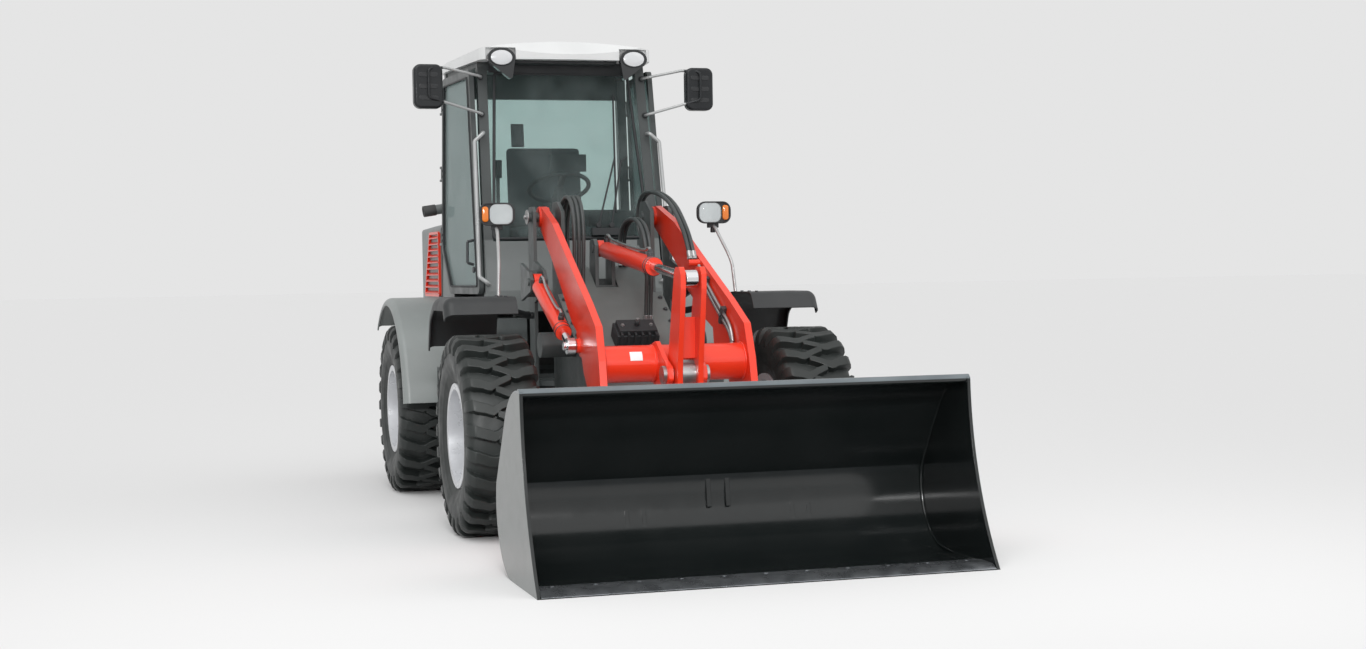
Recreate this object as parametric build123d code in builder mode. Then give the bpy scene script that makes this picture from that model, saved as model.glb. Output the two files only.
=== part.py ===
from build123d import *
import os
from math import atan2, cos, degrees, hypot, pi, radians, sin, tan

os.makedirs("parts", exist_ok=True)

# Compact wheel loader, millimetres. +X forward, +Y to the left, +Z up, ground at z = 0,
# origin under the middle of the overall length. Side outlines are given as (x, z).

# Running gear
wheelbase = 2140
front_axle_x = 713
rear_axle_x = front_axle_x - wheelbase
steer_x = front_axle_x - wheelbase / 2     # vertical pivot half way between the axles
tyre_radius = 490                          # over the lugs
tyre_width = 370
wheel_y = 795                              # half track
axle_z = tyre_radius
rim_radius = 235
rim_half_width = 150                       # between the flanges
lug_count = 15
lug_height = 30

# Boom, measured along the side outline
boom_x = -117                              # boom pivot
boom_z = 1575
arm_thickness = 35
arm_half_gap = 300                         # inner face at the pivot
arm_splay = 2.0                            # degrees in plan
tube_x = 1213                              # cross tube
tube_z = 838
tube_radius = 87.5
bucket_pin_x = 1723
bucket_pin_z = 288
crank_x = 1428                             # bellcrank pivot
crank_z = 793
crank_top_x = 1541
crank_top_z = 1235
crank_low_x = 1445
crank_low_z = 385
ear_x = 1823                               # link pivot on the bucket
ear_z = 480
pin_radius = 25

# Cylinders
tilt_base_x = -94
tilt_base_z = 1402
tilt_barrel_radius = 45
tilt_rod_radius = 22.5
tilt_barrel_length = 1035
lift_base_x = 150
lift_base_z = 1230
lift_eye_x = 880
lift_eye_z = 918
lift_y = 414
lift_barrel_radius = 40
lift_rod_radius = 20
lift_barrel_length = 640
steer_base = (-760, -190)                  # steering cylinder, in plan
steer_end = (-255, -200)
steer_z = 540
steer_barrel_length = 300

# Linkage pins
pin_head = 25                              # thickness of the heads on the bucket's pins
crank_lug_y = 96                           # outer face of the boom's lugs for the bellcrank
crank_plate_y = 37                         # inner face of its plates
crank_plate = 25
crank_hub_radius = 68
ear_outer_y = 54

hose_radius = 10
arm_hose_y = 280

# Fits
pin_gap = 0.05                             # running clearance of a pin in its bore
seat_gap = 0.3                             # between parts that only touch

# Bucket
bucket_half_width = 990
bucket_tip_x = 2690
bucket_wall = 12
bucket_side_wall = 14

# Cab
cab_front_x = -711
cab_rear_x = -1720
cab_floor_z = 1100
cab_floor_thickness = 50
cab_front_half = 521                       # half width at the foot of the front pillars
cab_rear_half = 590
pillar_lean = 12.1                         # degrees back from upright
cab_top_z = 2495
roof_top_z = 2603
roof_front_x = -790
roof_corner_x = -838                       # front edge at the corners
roof_rear_x = -1770
lamp_z = 2503                              # roof lamps
lamp_y = 388
pillar_size = 55
top_front_half = cab_front_half - 27      # half widths of the posts' tops
top_rear_half = cab_rear_half - 30
rear_window_low = 1665
rear_window_high = 2345
sill_z = 1460                              # lower edge of the windscreen
glass_thickness = 6

# Hood
hood_front_x = -1820
hood_rear_x = -2664
hood_base_z = 905
hood_top_z = 1590
hood_half = 585
hood_wall = 10
hood_hinge_x = -1812
hood_hinge_y = 200
hood_hinge_z = 1604
tow_pin_x = hood_rear_x + 36
tow_pin_radius = 20


def plate(outline, y_low, thickness, radius=0):
    # flat plate with the given side outline, from y_low towards +Y
    with BuildSketch(Plane.XZ.offset(-y_low)) as face:
        with BuildLine():
            Polyline(*outline, close=True)
        make_face()
        if radius:
            fillet(face.vertices(), radius)
    extrude(face.sketch, amount=-thickness)


def cross_pin(x, z, radius, y_low, y_high, mode=Mode.ADD):
    # round bar or bore along Y
    with BuildSketch(Plane.XZ.offset(-y_low)) as disc:
        with Locations((x, z)):
            Circle(radius)
    extrude(disc.sketch, amount=-(y_high - y_low), mode=mode)


def upright(x, y, radius, z_low, z_high, mode=Mode.ADD):
    # round bar or bore along Z
    with BuildSketch(Plane.XY.offset(z_low)) as disc:
        with Locations((x, y)):
            Circle(radius)
    extrude(disc.sketch, amount=z_high - z_low, mode=mode)


def block(x, y, z, mode=Mode.ADD):
    # box from three (low, high) pairs
    with Locations(((x[0] + x[1]) / 2, (y[0] + y[1]) / 2, (z[0] + z[1]) / 2)):
        Box(x[1] - x[0], y[1] - y[0], z[1] - z[0], mode=mode)


def bar(start, end, radius, mode=Mode.ADD):
    # round bar between two points
    axis = Vector(*end) - Vector(*start)
    with BuildSketch(Plane(origin=start, z_dir=axis)) as disc:
        Circle(radius)
    extrude(disc.sketch, amount=axis.length, mode=mode)


def bent_tube(route, radius, bend):
    # round tube along straight runs joined by arcs
    with BuildLine() as path:
        FilletPolyline(*route, radius=bend)
    with BuildSketch(Plane(origin=path.line @ 0, z_dir=path.line % 0)) as disc:
        Circle(radius)
    sweep(disc.sketch, path=path.line)



def fender(path, inner_y, width, lip, bend, thickness):
    # rolled sheet along a side path that runs forward, its outer edge turned down
    start, direction = path @ 0, path % 0
    with BuildSketch(Plane(origin=(start.X, inner_y, start.Z), x_dir=(0, 1, 0), z_dir=direction)) as rolled:
        with BuildLine() as edge:
            FilletPolyline((0, 0), (width, 0), (width, -lip), radius=bend)
        trace(edge.line, thickness)
    sweep(rolled.sketch, path=path.moved(Location((0, inner_y, 0))))


def hose(route, radius):
    # hose through straight runs, each bend as wide as its two runs allow
    bends = []
    for before, here, after in zip(route, route[1:], route[2:]):
        run_in, run_out = Vector(*here) - Vector(*before), Vector(*after) - Vector(*here)
        turn = radians(run_in.get_angle(run_out))
        bends.append(0.45 * min(run_in.length, run_out.length) / tan(turn / 2))
    with BuildLine() as path:
        FilletPolyline(*route, radius=bends)
    with BuildSketch(Plane(origin=path.line @ 0, z_dir=path.line % 0)) as disc:
        Circle(radius)
    sweep(disc.sketch, path=path.line)
    return min(bends)


# ---- wheels ----

def tyre_solid():
    # flat-sided carcass with two staggered rows of lugs that wrap over the shoulders
    half = tyre_width / 2
    facets = 2 * lug_count
    crown = tyre_radius - lug_height
    shoulder = crown - 12
    wall = rim_radius + 115
    bead = rim_half_width - seat_gap
    rings = (
        # y, radius
        (-bead, rim_radius + 24), (-half + 3, wall), (-half + 22, shoulder), (half - 22, shoulder),
        (half - 3, wall), (bead, rim_radius + 24),
    )
    corner_ratio = 1 / cos(pi / facets)
    with BuildPart() as tyre:
        outlines = []
        for y, radius in rings:
            with BuildSketch(Plane.XZ.offset(-y)) as ring:
                RegularPolygon(radius * corner_ratio, facets)
            outlines.append(ring.sketch.face())
        loft(outlines, ruled=True)
        with BuildSketch(Plane.XZ.offset(half)) as bore:
            RegularPolygon((rim_radius + seat_gap) * corner_ratio, facets)
        extrude(bore.sketch, amount=-tyre_width, mode=Mode.SUBTRACT)
        top = tyre_radius
        for side in (-1, 1):
            with BuildPart(mode=Mode.PRIVATE) as lug:
                with BuildSketch(Plane.XY.offset(crown - 60)) as footprint:
                    with BuildLine():
                        Polyline(
                            (-46, side * -14), (-34, side * 80), (-14, side * half), (48, side * half),
                            (18, side * 80), (2, side * -14), close=True,
                        )
                    make_face()
                extrude(footprint.sketch, amount=100)
                with BuildSketch(Plane.YZ.offset(-60)) as profile:
                    with BuildLine():
                        Polyline(
                            (side * -20, top - 60), (side * -20, top), (side * (half - 34), top),
                            (side * half, top - 42), (side * half, top - 78), close=True,
                        )
                    make_face()
                extrude(profile.sketch, amount=120, mode=Mode.INTERSECT)
            turn = 180 / lug_count if side > 0 else 0
            step = 360 / lug_count
            add([lug.part.rotate(Axis.Y, turn + step * n) for n in range(lug_count)])
    return tyre.part


def rim_solid(side):
    # dished rim with its hub; side is +1 on the left wheels
    lip = rim_half_width
    with BuildPart() as rim:
        with BuildSketch(Plane.YZ) as section:
            with BuildLine():
                Polyline(
                    (-side * (lip + 10), 256), (-side * lip, 256), (-side * lip, rim_radius),
                    (side * lip, rim_radius), (side * lip, 256), (side * (lip + 10), 256),
                    (side * (lip + 10), rim_radius - 10),
                    (side * 60, rim_radius - 14), (side * 30, 190), (side * 30, 110), (side * 70, 95),
                    (side * 80, 0), (side * 10, 0), (side * 10, 45 + pin_gap), (-side * 60, 45 + pin_gap),
                    (-side * 60, 130), (side * 16, 160), (side * 16, 195), (side * 40, rim_radius - 22),
                    (-side * (lip + 10), rim_radius - 12), close=True,
                )
            make_face()
        revolve(section.sketch, axis=Axis.Y)
    return rim.part


tyre_form = tyre_solid()
corners = (
    ("front_right", front_axle_x, -1),
    ("front_left", front_axle_x, 1),
    ("rear_right", rear_axle_x, -1),
    ("rear_left", rear_axle_x, 1),
)
for corner, axle_x, side in corners:
    with BuildPart() as tyre:
        with Locations((axle_x, side * wheel_y, axle_z)):
            add(tyre_form if side > 0 else tyre_form.mirror(Plane.XZ))
    tyre.part.label = f"tyre_{corner}"
    export_step(tyre.part, f"parts/tyre_{corner}.step")
    with BuildPart() as rim:
        with Locations((axle_x, side * wheel_y, axle_z)):
            add(rim_solid(side))
    rim.part.label = f"rim_{corner}"
    export_step(rim.part, f"parts/rim_{corner}.step")


# ---- axles ----

for end, axle_x in (("front", front_axle_x), ("rear", rear_axle_x)):
    with BuildPart() as axle:
        with BuildSketch(Plane.YZ.offset(axle_x)) as section:
            with BuildLine():
                Polyline(
                    (0, axle_z), (0, axle_z + 150), (60, axle_z + 140), (130, axle_z + 75), (500, axle_z + 70),
                    (520, axle_z + 120), (wheel_y - 100, axle_z + 120), (wheel_y - 95, axle_z + 45),
                    (wheel_y + 5, axle_z + 45), (wheel_y + 5, axle_z), close=True,
                )
            make_face()
        revolve(section.sketch, axis=Axis((axle_x, 0, axle_z), (0, 1, 0)))
        block((axle_x - 55, axle_x + 55), (205, 285), (axle_z + 40, 600 - seat_gap))
        mirror(about=Plane.XZ)
    axle.part.label = f"{end}_axle"
    export_step(axle.part, f"parts/{end}_axle.step")


# ---- front frame ----

tower_half = 384                           # outer face of the narrow posts
post_thickness = 18
inner_plate_y = 235
inner_plate_thickness = 20
post_rear_x = -190
post_front_x = -60
cover_slope = (1340 - 750) / (713 + 237)   # fall of the cover per unit of length


def cover_z(x):
    return 1340 - (x + 237) * cover_slope


with BuildPart() as front_frame:
    plate(
        [
            (post_rear_x, 430), (post_rear_x, 1610), (-160, 1655), (-60, 1655), (40, 1600),
            (50, cover_z(50)), (713, cover_z(713)), (830, 705), (830, 645), (800, 600), (560, 600), (520, 345), (60, 345),
        ],
        inner_plate_y, inner_plate_thickness,
    )
    plate(
        [(post_rear_x, 560), (post_rear_x, 1600), (-165, 1630), (-85, 1630), (post_front_x, 1600),
         (post_front_x, 1340), (lift_base_x, 1290), (lift_base_x + 50, 1240), (lift_base_x + 30, 1180),
         (post_front_x, 1120), (post_front_x, 560)],
        tower_half - post_thickness, post_thickness,
    )
    plate(
        [(post_front_x, 1330), (lift_base_x, 1282), (lift_base_x + 50, 1240), (lift_base_x + 30, 1180),
         (post_front_x, 1130)],
        lift_y + 27, 16,
    )
    block((post_front_x, 20), (tower_half - 1, lift_y + 28), (1150, 1290))
    block((post_rear_x, 120), (0, tower_half - 1), (560, 620))
    block((post_rear_x, post_rear_x + 20), (0, inner_plate_y + 1), (430, 1240))
    block((800, 829), (0, inner_plate_y + 1), (650, 700))
    block((60, 520), (0, inner_plate_y + 1), (345, 360))
    cross_pin(300, 905, 65, inner_plate_y + inner_plate_thickness - 1, 440)
    mirror(about=Plane.XZ)
    block((post_rear_x - 50, post_rear_x + 1), (inner_plate_y + 1, arm_hose_y - hose_radius - seat_gap), (1418, 1450))
    block((steer_x + 40, post_rear_x + 1), (-60, 60), (450, 630))
    upright(steer_x, 0, 75, 440, 640)
    upright(steer_x, 0, 30 + pin_gap, 430, 650, mode=Mode.SUBTRACT)
    for z in (steer_z - 34, steer_z + 20):
        block((steer_end[0] - 5, post_rear_x + 1), (steer_end[1] - 28, steer_end[1] + 28), (z, z + 14))
        upright(steer_end[0], steer_end[1], 28, z, z + 14)
    upright(steer_end[0], steer_end[1], 16, steer_z - 40, steer_z - 22)
    upright(steer_end[0], steer_end[1], 16, steer_z + 22, steer_z + 40)
    for side in (-1, 1):
        cross_pin(boom_x, boom_z, pin_radius, min(side * 228, side * 400), max(side * 228, side * 400))
        cross_pin(
            lift_base_x, lift_base_z, 20, min(side * 372, side * 466), max(side * 372, side * 466)
        )
    for y in (-55, 35):
        plate(
            [(-170, 1190), (-165, 1300), (-150, 1440), (-120, 1455), (-70, 1455), (-35, 1420), (-30, 1190)],
            y, 20,
        )
    cross_pin(tilt_base_x, tilt_base_z, pin_radius, -60, 60)
    block((post_rear_x + 10, -30), (-inner_plate_y - 1, inner_plate_y + 1), (1185, 1205))
front_frame.part.label = "front_frame"
export_step(front_frame.part, "parts/front_frame.step")

with BuildPart() as front_cover:
    # sloping sheet between the arms, narrow between the tower plates and wide ahead of them
    plate(
        [(-170, cover_z(-170) + seat_gap), (48, cover_z(48) + seat_gap), (48, cover_z(48) + 8),
         (-170, cover_z(-170) + 8)],
        -inner_plate_y + 2, 2 * inner_plate_y - 4,
    )
    plate(
        [(46, cover_z(46) + seat_gap), (713, cover_z(713) + seat_gap), (835, 705), (838, 712),
         (716, cover_z(716) + 8), (46, cover_z(46) + 8)],
        -inner_plate_y + 2, 2 * inner_plate_y - 4,
    )
    for y in (-285, inner_plate_y - 2):
        plate(
            [(60, cover_z(60) + seat_gap), (713, cover_z(713) + seat_gap), (835, 705 + seat_gap), (838, 712),
             (716, cover_z(716) + 8), (60, cover_z(60) + 8)],
            y, 287 - inner_plate_y,
        )
    block((-180, 10), (-62, 62), (1100, 1460), mode=Mode.SUBTRACT)
front_cover.part.label = "front_cover"
export_step(front_cover.part, "parts/front_cover.step")

fender_inner_y = 615
fender_top_z = 1157
fender_outer_y = 975
fender_thickness = 7
with BuildPart() as front_fenders:
    # rolled sheet over each front wheel, coming down behind it
    with BuildLine(Plane.XZ) as line:
        FilletPolyline(
            (25, 905), (95, 1085), (235, fender_top_z), (575, fender_top_z), (622, 1075), radius=[150, 130, 60]
        )
    fender(line.line, fender_inner_y, fender_outer_y - fender_inner_y, 62, 42, fender_thickness)
    bar((-100, tower_half + seat_gap, 1050), (-100, tower_half + 30, 1050), 18)
    bar((-100, tower_half + 25, 1050), (190, fender_inner_y + 35, 1108), 18)
    mirror(about=Plane.XZ)
front_fenders.part.label = "front_fenders"
export_step(front_fenders.part, "parts/front_fenders.step")

# ---- boom ----

arm_plane = Plane(
    origin=(boom_x, -(arm_half_gap + arm_thickness), 0),
    x_dir=(cos(radians(arm_splay)), -sin(radians(arm_splay)), 0),
    z_dir=(-sin(radians(arm_splay)), -cos(radians(arm_splay)), 0),
)
arm_outline = [
    (-165, 1590), (-150, 1625), (-90, 1630), (226, 1533), (583, 1357), (1053, 1132), (1262, 1020),
    (1325, 860), (1352, 735), (1530, 560), (1670, 400), (1778, 330), (1788, 262), (1740, 220), (1650, 225),
    (1450, 290), (1250, 480), (1079, 700), (975, 790), (930, 862), (872, 868), (825, 915), (815, 989),
    (708, 1027), (459, 1190), (177, 1361), (-152, 1535),
]


def arm_y(x):
    # outer face of the arm at this place along the machine
    return arm_half_gap + arm_thickness + (x - boom_x) * tan(radians(arm_splay))


with BuildPart() as boom:
    with BuildSketch(arm_plane) as face:
        with BuildLine():
            Polyline(*[((x - boom_x) / cos(radians(arm_splay)), z) for x, z in arm_outline], close=True)
        make_face()
        fillet(face.vertices(), 12)
    extrude(face.sketch, amount=-arm_thickness)
    boss_y = arm_y(boom_x)
    cross_pin(boom_x, boom_z, 52, -boss_y - 10, -boss_y + arm_thickness + 12)
    cross_pin(bucket_pin_x, bucket_pin_z, 58, -arm_y(bucket_pin_x) - 6, -arm_y(bucket_pin_x) + arm_thickness + 6)
    cross_pin(boom_x, boom_z, pin_radius + pin_gap, -420, -200, mode=Mode.SUBTRACT)
    cross_pin(bucket_pin_x, bucket_pin_z, pin_radius + pin_gap, -500, -300, mode=Mode.SUBTRACT)
    cross_pin(lift_eye_x, lift_eye_z, 34, -lift_y + 26, -arm_y(lift_eye_x) + arm_thickness / 2)
    mirror(about=Plane.XZ)
    cross_pin(tube_x, tube_z, tube_radius, -350, 350)
    for y in (-crank_lug_y + 4, crank_lug_y - 26):
        plate(
            [(1180, 760), (1190, 930), (1260, 945), (1400, 860), (1478, 830), (1490, 770), (1440, 738), (1300, 700)],
            y, 22, 15,
        )
        cross_pin(crank_x, crank_z, 52, y - (4 if y < 0 else 0), y + 22 + (4 if y > 0 else 0))
    cross_pin(crank_x, crank_z, pin_radius + pin_gap, -110, 110, mode=Mode.SUBTRACT)
    cross_pin(625.5, 1315, 16.7, 268, arm_y(625) - arm_thickness / 2)
boom.part.label = "boom"
export_step(boom.part, "parts/boom.step")

# ---- bucket ----

with BuildPart() as bucket:
    with BuildSketch(Plane.XZ.offset(bucket_half_width)) as skin:
        with BuildLine():
            l1 = Line((bucket_tip_x, 0), (2165, 0))
            a1 = ThreePointArc((2165, 0), (1935, 140), (1900, 380))
            l2 = Line((1900, 380), (2110, 670))
            a2 = ThreePointArc((2110, 670), (2225, 765), (2393, 800))
            l3 = Line((2393, 800), (2393, 800 - bucket_wall))
            a3 = ThreePointArc((2393, 800 - bucket_wall), (2232, 754), (2120, 663))
            l4 = Line((2120, 663), (1911, 374))
            a4 = ThreePointArc((1911, 374), (1947, 149), (2168, bucket_wall))
            l5 = Line((2168, bucket_wall), (bucket_tip_x - 40, bucket_wall))
            l6 = Line((bucket_tip_x - 40, bucket_wall), (bucket_tip_x, 0))
        make_face()
    extrude(skin.sketch, amount=-2 * bucket_half_width)
    for y in (-bucket_half_width, bucket_half_width - bucket_side_wall):
        with BuildSketch(Plane.XZ.offset(-y)) as cheek:
            with BuildLine():
                Line((bucket_tip_x - 4, 0), (2165, 0))
                ThreePointArc((2165, 0), (1935, 140), (1900, 380))
                Line((1900, 380), (2110, 670))
                ThreePointArc((2110, 670), (2225, 765), (2393, 800))
                Line((2393, 800), (2415, 795))
                ThreePointArc((2415, 795), (2452, 514), (bucket_tip_x - 4, 0))
            make_face()
        extrude(cheek.sketch, amount=-bucket_side_wall)
    bar((2393, -bucket_half_width, 790), (2393, bucket_half_width, 790), 18)
    for y in (-(arm_y(bucket_pin_x) + 12 + 18), -(arm_y(bucket_pin_x) - arm_thickness - 12)):
        plate(
            [(1690, 330), (1672, 288), (1700, 245), (1760, 228), (1890, 240), (1915, 150), (1960, 110),
             (1905, 250), (1898, 385), (1950, 450), (2030, 570), (1900, 480)],
            y, 18,
        )
        cross_pin(bucket_pin_x, bucket_pin_z, 55, y, y + 18)
    for y in (-54,):
        plate(
            [(1790, 500), (1785, 460), (1840, 430), (1890, 300), (1925, 230), (1903, 380), (2050, 592), (1960, 560)],
            y, 20,
        )
        cross_pin(ear_x, ear_z, 45, y, y + 20)
    cross_pin(bucket_pin_x, bucket_pin_z, pin_radius + pin_gap, -500, -300, mode=Mode.SUBTRACT)
    cross_pin(ear_x, ear_z, pin_radius + pin_gap, -60, -20, mode=Mode.SUBTRACT)
    mirror(about=Plane.XZ)
bucket.part.label = "bucket"
export_step(bucket.part, "parts/bucket.step")

with BuildPart() as bucket_pins:
    outer_ear, inner_ear = arm_y(bucket_pin_x) + 30, arm_y(bucket_pin_x) - arm_thickness - 30
    cross_pin(bucket_pin_x, bucket_pin_z, pin_radius, -(outer_ear + pin_head), -(inner_ear - pin_head))
    for y in (-(outer_ear + pin_head), -(inner_ear - seat_gap)):
        cross_pin(bucket_pin_x, bucket_pin_z, 2 * pin_radius, y, y + pin_head - seat_gap)
    mirror(about=Plane.XZ)
bucket_pins.part.label = "bucket_pins"
export_step(bucket_pins.part, "parts/bucket_pins.step")

# ---- linkage ----

with BuildPart() as bellcrank_pin:
    # pin with the hub that the two plates turn on, and a head outside each lug of the boom
    cross_pin(crank_x, crank_z, pin_radius, -crank_lug_y - 16, crank_lug_y + 16)
    cross_pin(crank_x, crank_z, crank_hub_radius, -crank_plate_y + seat_gap, crank_plate_y - seat_gap)
    for y in (-crank_lug_y - 16, crank_lug_y + seat_gap):
        cross_pin(crank_x, crank_z, 42, y, y + 16 - seat_gap)
bellcrank_pin.part.label = "bellcrank_pin"
export_step(bellcrank_pin.part, "parts/bellcrank_pin.step")

with BuildPart() as bellcrank:
    for y in (-crank_plate_y - crank_plate, crank_plate_y):
        plate(
            [(1490, 1270), (1515, 1292), (1570, 1292), (1596, 1262), (1596, 1190), (1530, 850), (1510, 640),
             (1500, 385), (1475, 335), (1415, 335), (1390, 385), (1360, 700), (1345, 800), (1380, 900)],
            y, crank_plate, 14,
        )
        cross_pin(crank_top_x, crank_top_z, 19.5, y, y + crank_plate)
        cross_pin(crank_low_x, crank_low_z, 19.5, y, y + crank_plate)
    block((1465, 1483), (-crank_plate_y - 1, crank_plate_y + 1), (870, 1060))
    cross_pin(crank_x, crank_z, pin_radius + pin_gap, -70, 70, mode=Mode.SUBTRACT)
bellcrank.part.label = "bellcrank"
export_step(bellcrank.part, "parts/bellcrank.step")

with BuildPart() as link_pin:
    cross_pin(ear_x, ear_z, pin_radius, -ear_outer_y - 30, ear_outer_y + 30)
    for y in (-ear_outer_y - 30, ear_outer_y + seat_gap):
        cross_pin(ear_x, ear_z, 58, y, y + 30 - seat_gap)
    for y in (-33, 25 + seat_gap):
        cross_pin(ear_x, ear_z, 42, y, y + 7.7)
link_pin.part.label = "link_pin"
export_step(link_pin.part, "parts/link_pin.step")

with BuildPart() as link:
    length = hypot(ear_x - crank_low_x, ear_z - crank_low_z)
    turn = degrees(atan2(ear_z - crank_low_z, ear_x - crank_low_x))
    with BuildSketch(Plane.XZ.offset(-25)) as strap:
        with Locations(Location(((ear_x + crank_low_x) / 2, (ear_z + crank_low_z) / 2), turn)):
            SlotCenterToCenter(length, 84)
    extrude(strap.sketch, amount=50)
    cross_pin(ear_x, ear_z, pin_radius + pin_gap, -70, 70, mode=Mode.SUBTRACT)
link.part.label = "link"
export_step(link.part, "parts/link.step")

# ---- hoses ----

with BuildPart() as arm_hose:
    # over the pivot, from beside the block behind the left post to a port inside the left arm
    tight = [hose(
        [
            (x, arm_hose_y, z) for x, z in (
                (post_rear_x - 30, 1434), (-335, 1462), (-395, 1548), (-375, 1640), (-285, 1700), (-160, 1712),
                (60, 1690), (280, 1629), (435, 1533), (560, 1430), (617, 1330),
            )
        ],
        hose_radius,
    )]
arm_hose.part.label = "arm_hose"
export_step(arm_hose.part, "parts/arm_hose.step")

with BuildPart() as tower_hoses:
    # two loops that rise behind the tilt cylinder and come down on the cover
    def on_cover(x, lean):
        # where a hose that leans back by this many radians meets the sloping cover
        return cover_z(x) + 8 + seat_gap + hose_radius * (cover_slope * cos(lean) + sin(lean))

    tight.append(hose(
        [
            (-155, 130, on_cover(-155, 0.185)), (-172, 130, 1400), (-145, 130, 1490), (-50, 130, 1545),
            (89, 130, 1560), (250, 130, 1530), (345, 130, 1450), (378, 130, 1340), (374, 130, 1230),
            (354, 130, 1113), (340, 130, on_cover(340, -0.115)),
        ],
        hose_radius,
    ))
    tight.append(hose(
        [
            (-140, -200, on_cover(-140, 0.14)), (-158, -200, 1430), (-150, -200, 1560), (-80, -200, 1645),
            (20, -200, 1680), (125, -200, 1665), (195, -200, 1590), (212, -200, 1480), (204, -200, 1375),
            (192, -200, 1282), (184, -200, 1190), (178, -200, on_cover(178, -0.06)),
        ],
        hose_radius,
    ))
tower_hoses.part.label = "tower_hoses"
export_step(tower_hoses.part, "parts/tower_hoses.step")
print("smallest hose bends", [round(bend, 1) for bend in tight])

# ---- tilt cylinder ----

tilt_axis = Vector(crank_top_x - tilt_base_x, 0, crank_top_z - tilt_base_z)
tilt_unit = tilt_axis.normalized()


def along_tilt(distance):
    return Vector(tilt_base_x, 0, tilt_base_z) + tilt_unit * distance


with BuildPart() as tilt_barrel:
    cross_pin(tilt_base_x, tilt_base_z, 45, -29, 29)
    bar(along_tilt(30), along_tilt(112), 28)
    bar(along_tilt(110), along_tilt(tilt_barrel_length), tilt_barrel_radius)
    cross_pin(tilt_base_x, tilt_base_z, pin_radius + pin_gap, -40, 40, mode=Mode.SUBTRACT)
    bar(
        along_tilt(130), along_tilt(tilt_barrel_length + 10),
        tilt_rod_radius + pin_gap, mode=Mode.SUBTRACT,
    )
tilt_barrel.part.label = "tilt_barrel"
export_step(tilt_barrel.part, "parts/tilt_barrel.step")

with BuildPart() as tilt_rod:
    bar(along_tilt(520), along_tilt(tilt_axis.length - 30), tilt_rod_radius)
    cross_pin(crank_top_x, crank_top_z, 42, -28, 28)
tilt_rod.part.label = "tilt_rod"
export_step(tilt_rod.part, "parts/tilt_rod.step")

# ---- lift cylinders ----

lift_axis = Vector(lift_eye_x - lift_base_x, 0, lift_eye_z - lift_base_z)
lift_unit = lift_axis.normalized()
for side, hand in ((-1, "right"), (1, "left")):
    def along_lift(distance):
        return Vector(lift_base_x, side * lift_y, lift_base_z) + lift_unit * distance

    with BuildPart() as lift_barrel:
        cross_pin(lift_base_x, lift_base_z, 42, side * lift_y - 22, side * lift_y + 22)
        bar(along_lift(70), along_lift(lift_barrel_length), lift_barrel_radius)
        bar(along_lift(30), along_lift(72), 20)
        cross_pin(
            lift_base_x, lift_base_z, 20 + pin_gap, side * lift_y - 30, side * lift_y + 30, mode=Mode.SUBTRACT
        )
        bar(along_lift(90), along_lift(lift_barrel_length + 10), lift_rod_radius + pin_gap, mode=Mode.SUBTRACT)
    lift_barrel.part.label = f"lift_barrel_{hand}"
    export_step(lift_barrel.part, f"parts/lift_barrel_{hand}.step")

    with BuildPart() as lift_rod:
        bar(along_lift(110), along_lift(lift_axis.length - 36), lift_rod_radius)
        cross_pin(lift_eye_x, lift_eye_z, 40, side * lift_y - 20, side * lift_y + 20)
        cross_pin(lift_eye_x, lift_eye_z, 20, min(side * lift_y, side * 450), max(side * lift_y, side * 450))
    lift_rod.part.label = f"lift_rod_{hand}"
    export_step(lift_rod.part, f"parts/lift_rod_{hand}.step")

# ---- steering cylinder ----

steer_axis = Vector(steer_end[0] - steer_base[0], steer_end[1] - steer_base[1], 0)
steer_unit = steer_axis.normalized()


def along_steer(distance):
    return Vector(steer_base[0], steer_base[1], steer_z) + steer_unit * distance


with BuildPart() as steer_barrel:
    upright(steer_base[0], steer_base[1], 28, steer_z - 18, steer_z + 18)
    bar(along_steer(20), along_steer(45), 15)
    bar(along_steer(40), along_steer(steer_barrel_length), 26)
    upright(steer_base[0], steer_base[1], 15 + pin_gap, steer_z - 30, steer_z + 30, mode=Mode.SUBTRACT)
    bar(along_steer(40), along_steer(steer_barrel_length + 10), 14 + pin_gap, mode=Mode.SUBTRACT)
steer_barrel.part.label = "steer_barrel"
export_step(steer_barrel.part, "parts/steer_barrel.step")

with BuildPart() as steer_rod:
    bar(along_steer(215), along_steer(steer_axis.length - 20), 14)
    upright(steer_end[0], steer_end[1], 24, steer_z - 16, steer_z + 16)
steer_rod.part.label = "steer_rod"
export_step(steer_rod.part, "parts/steer_rod.step")

# ---- rear frame ----

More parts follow.
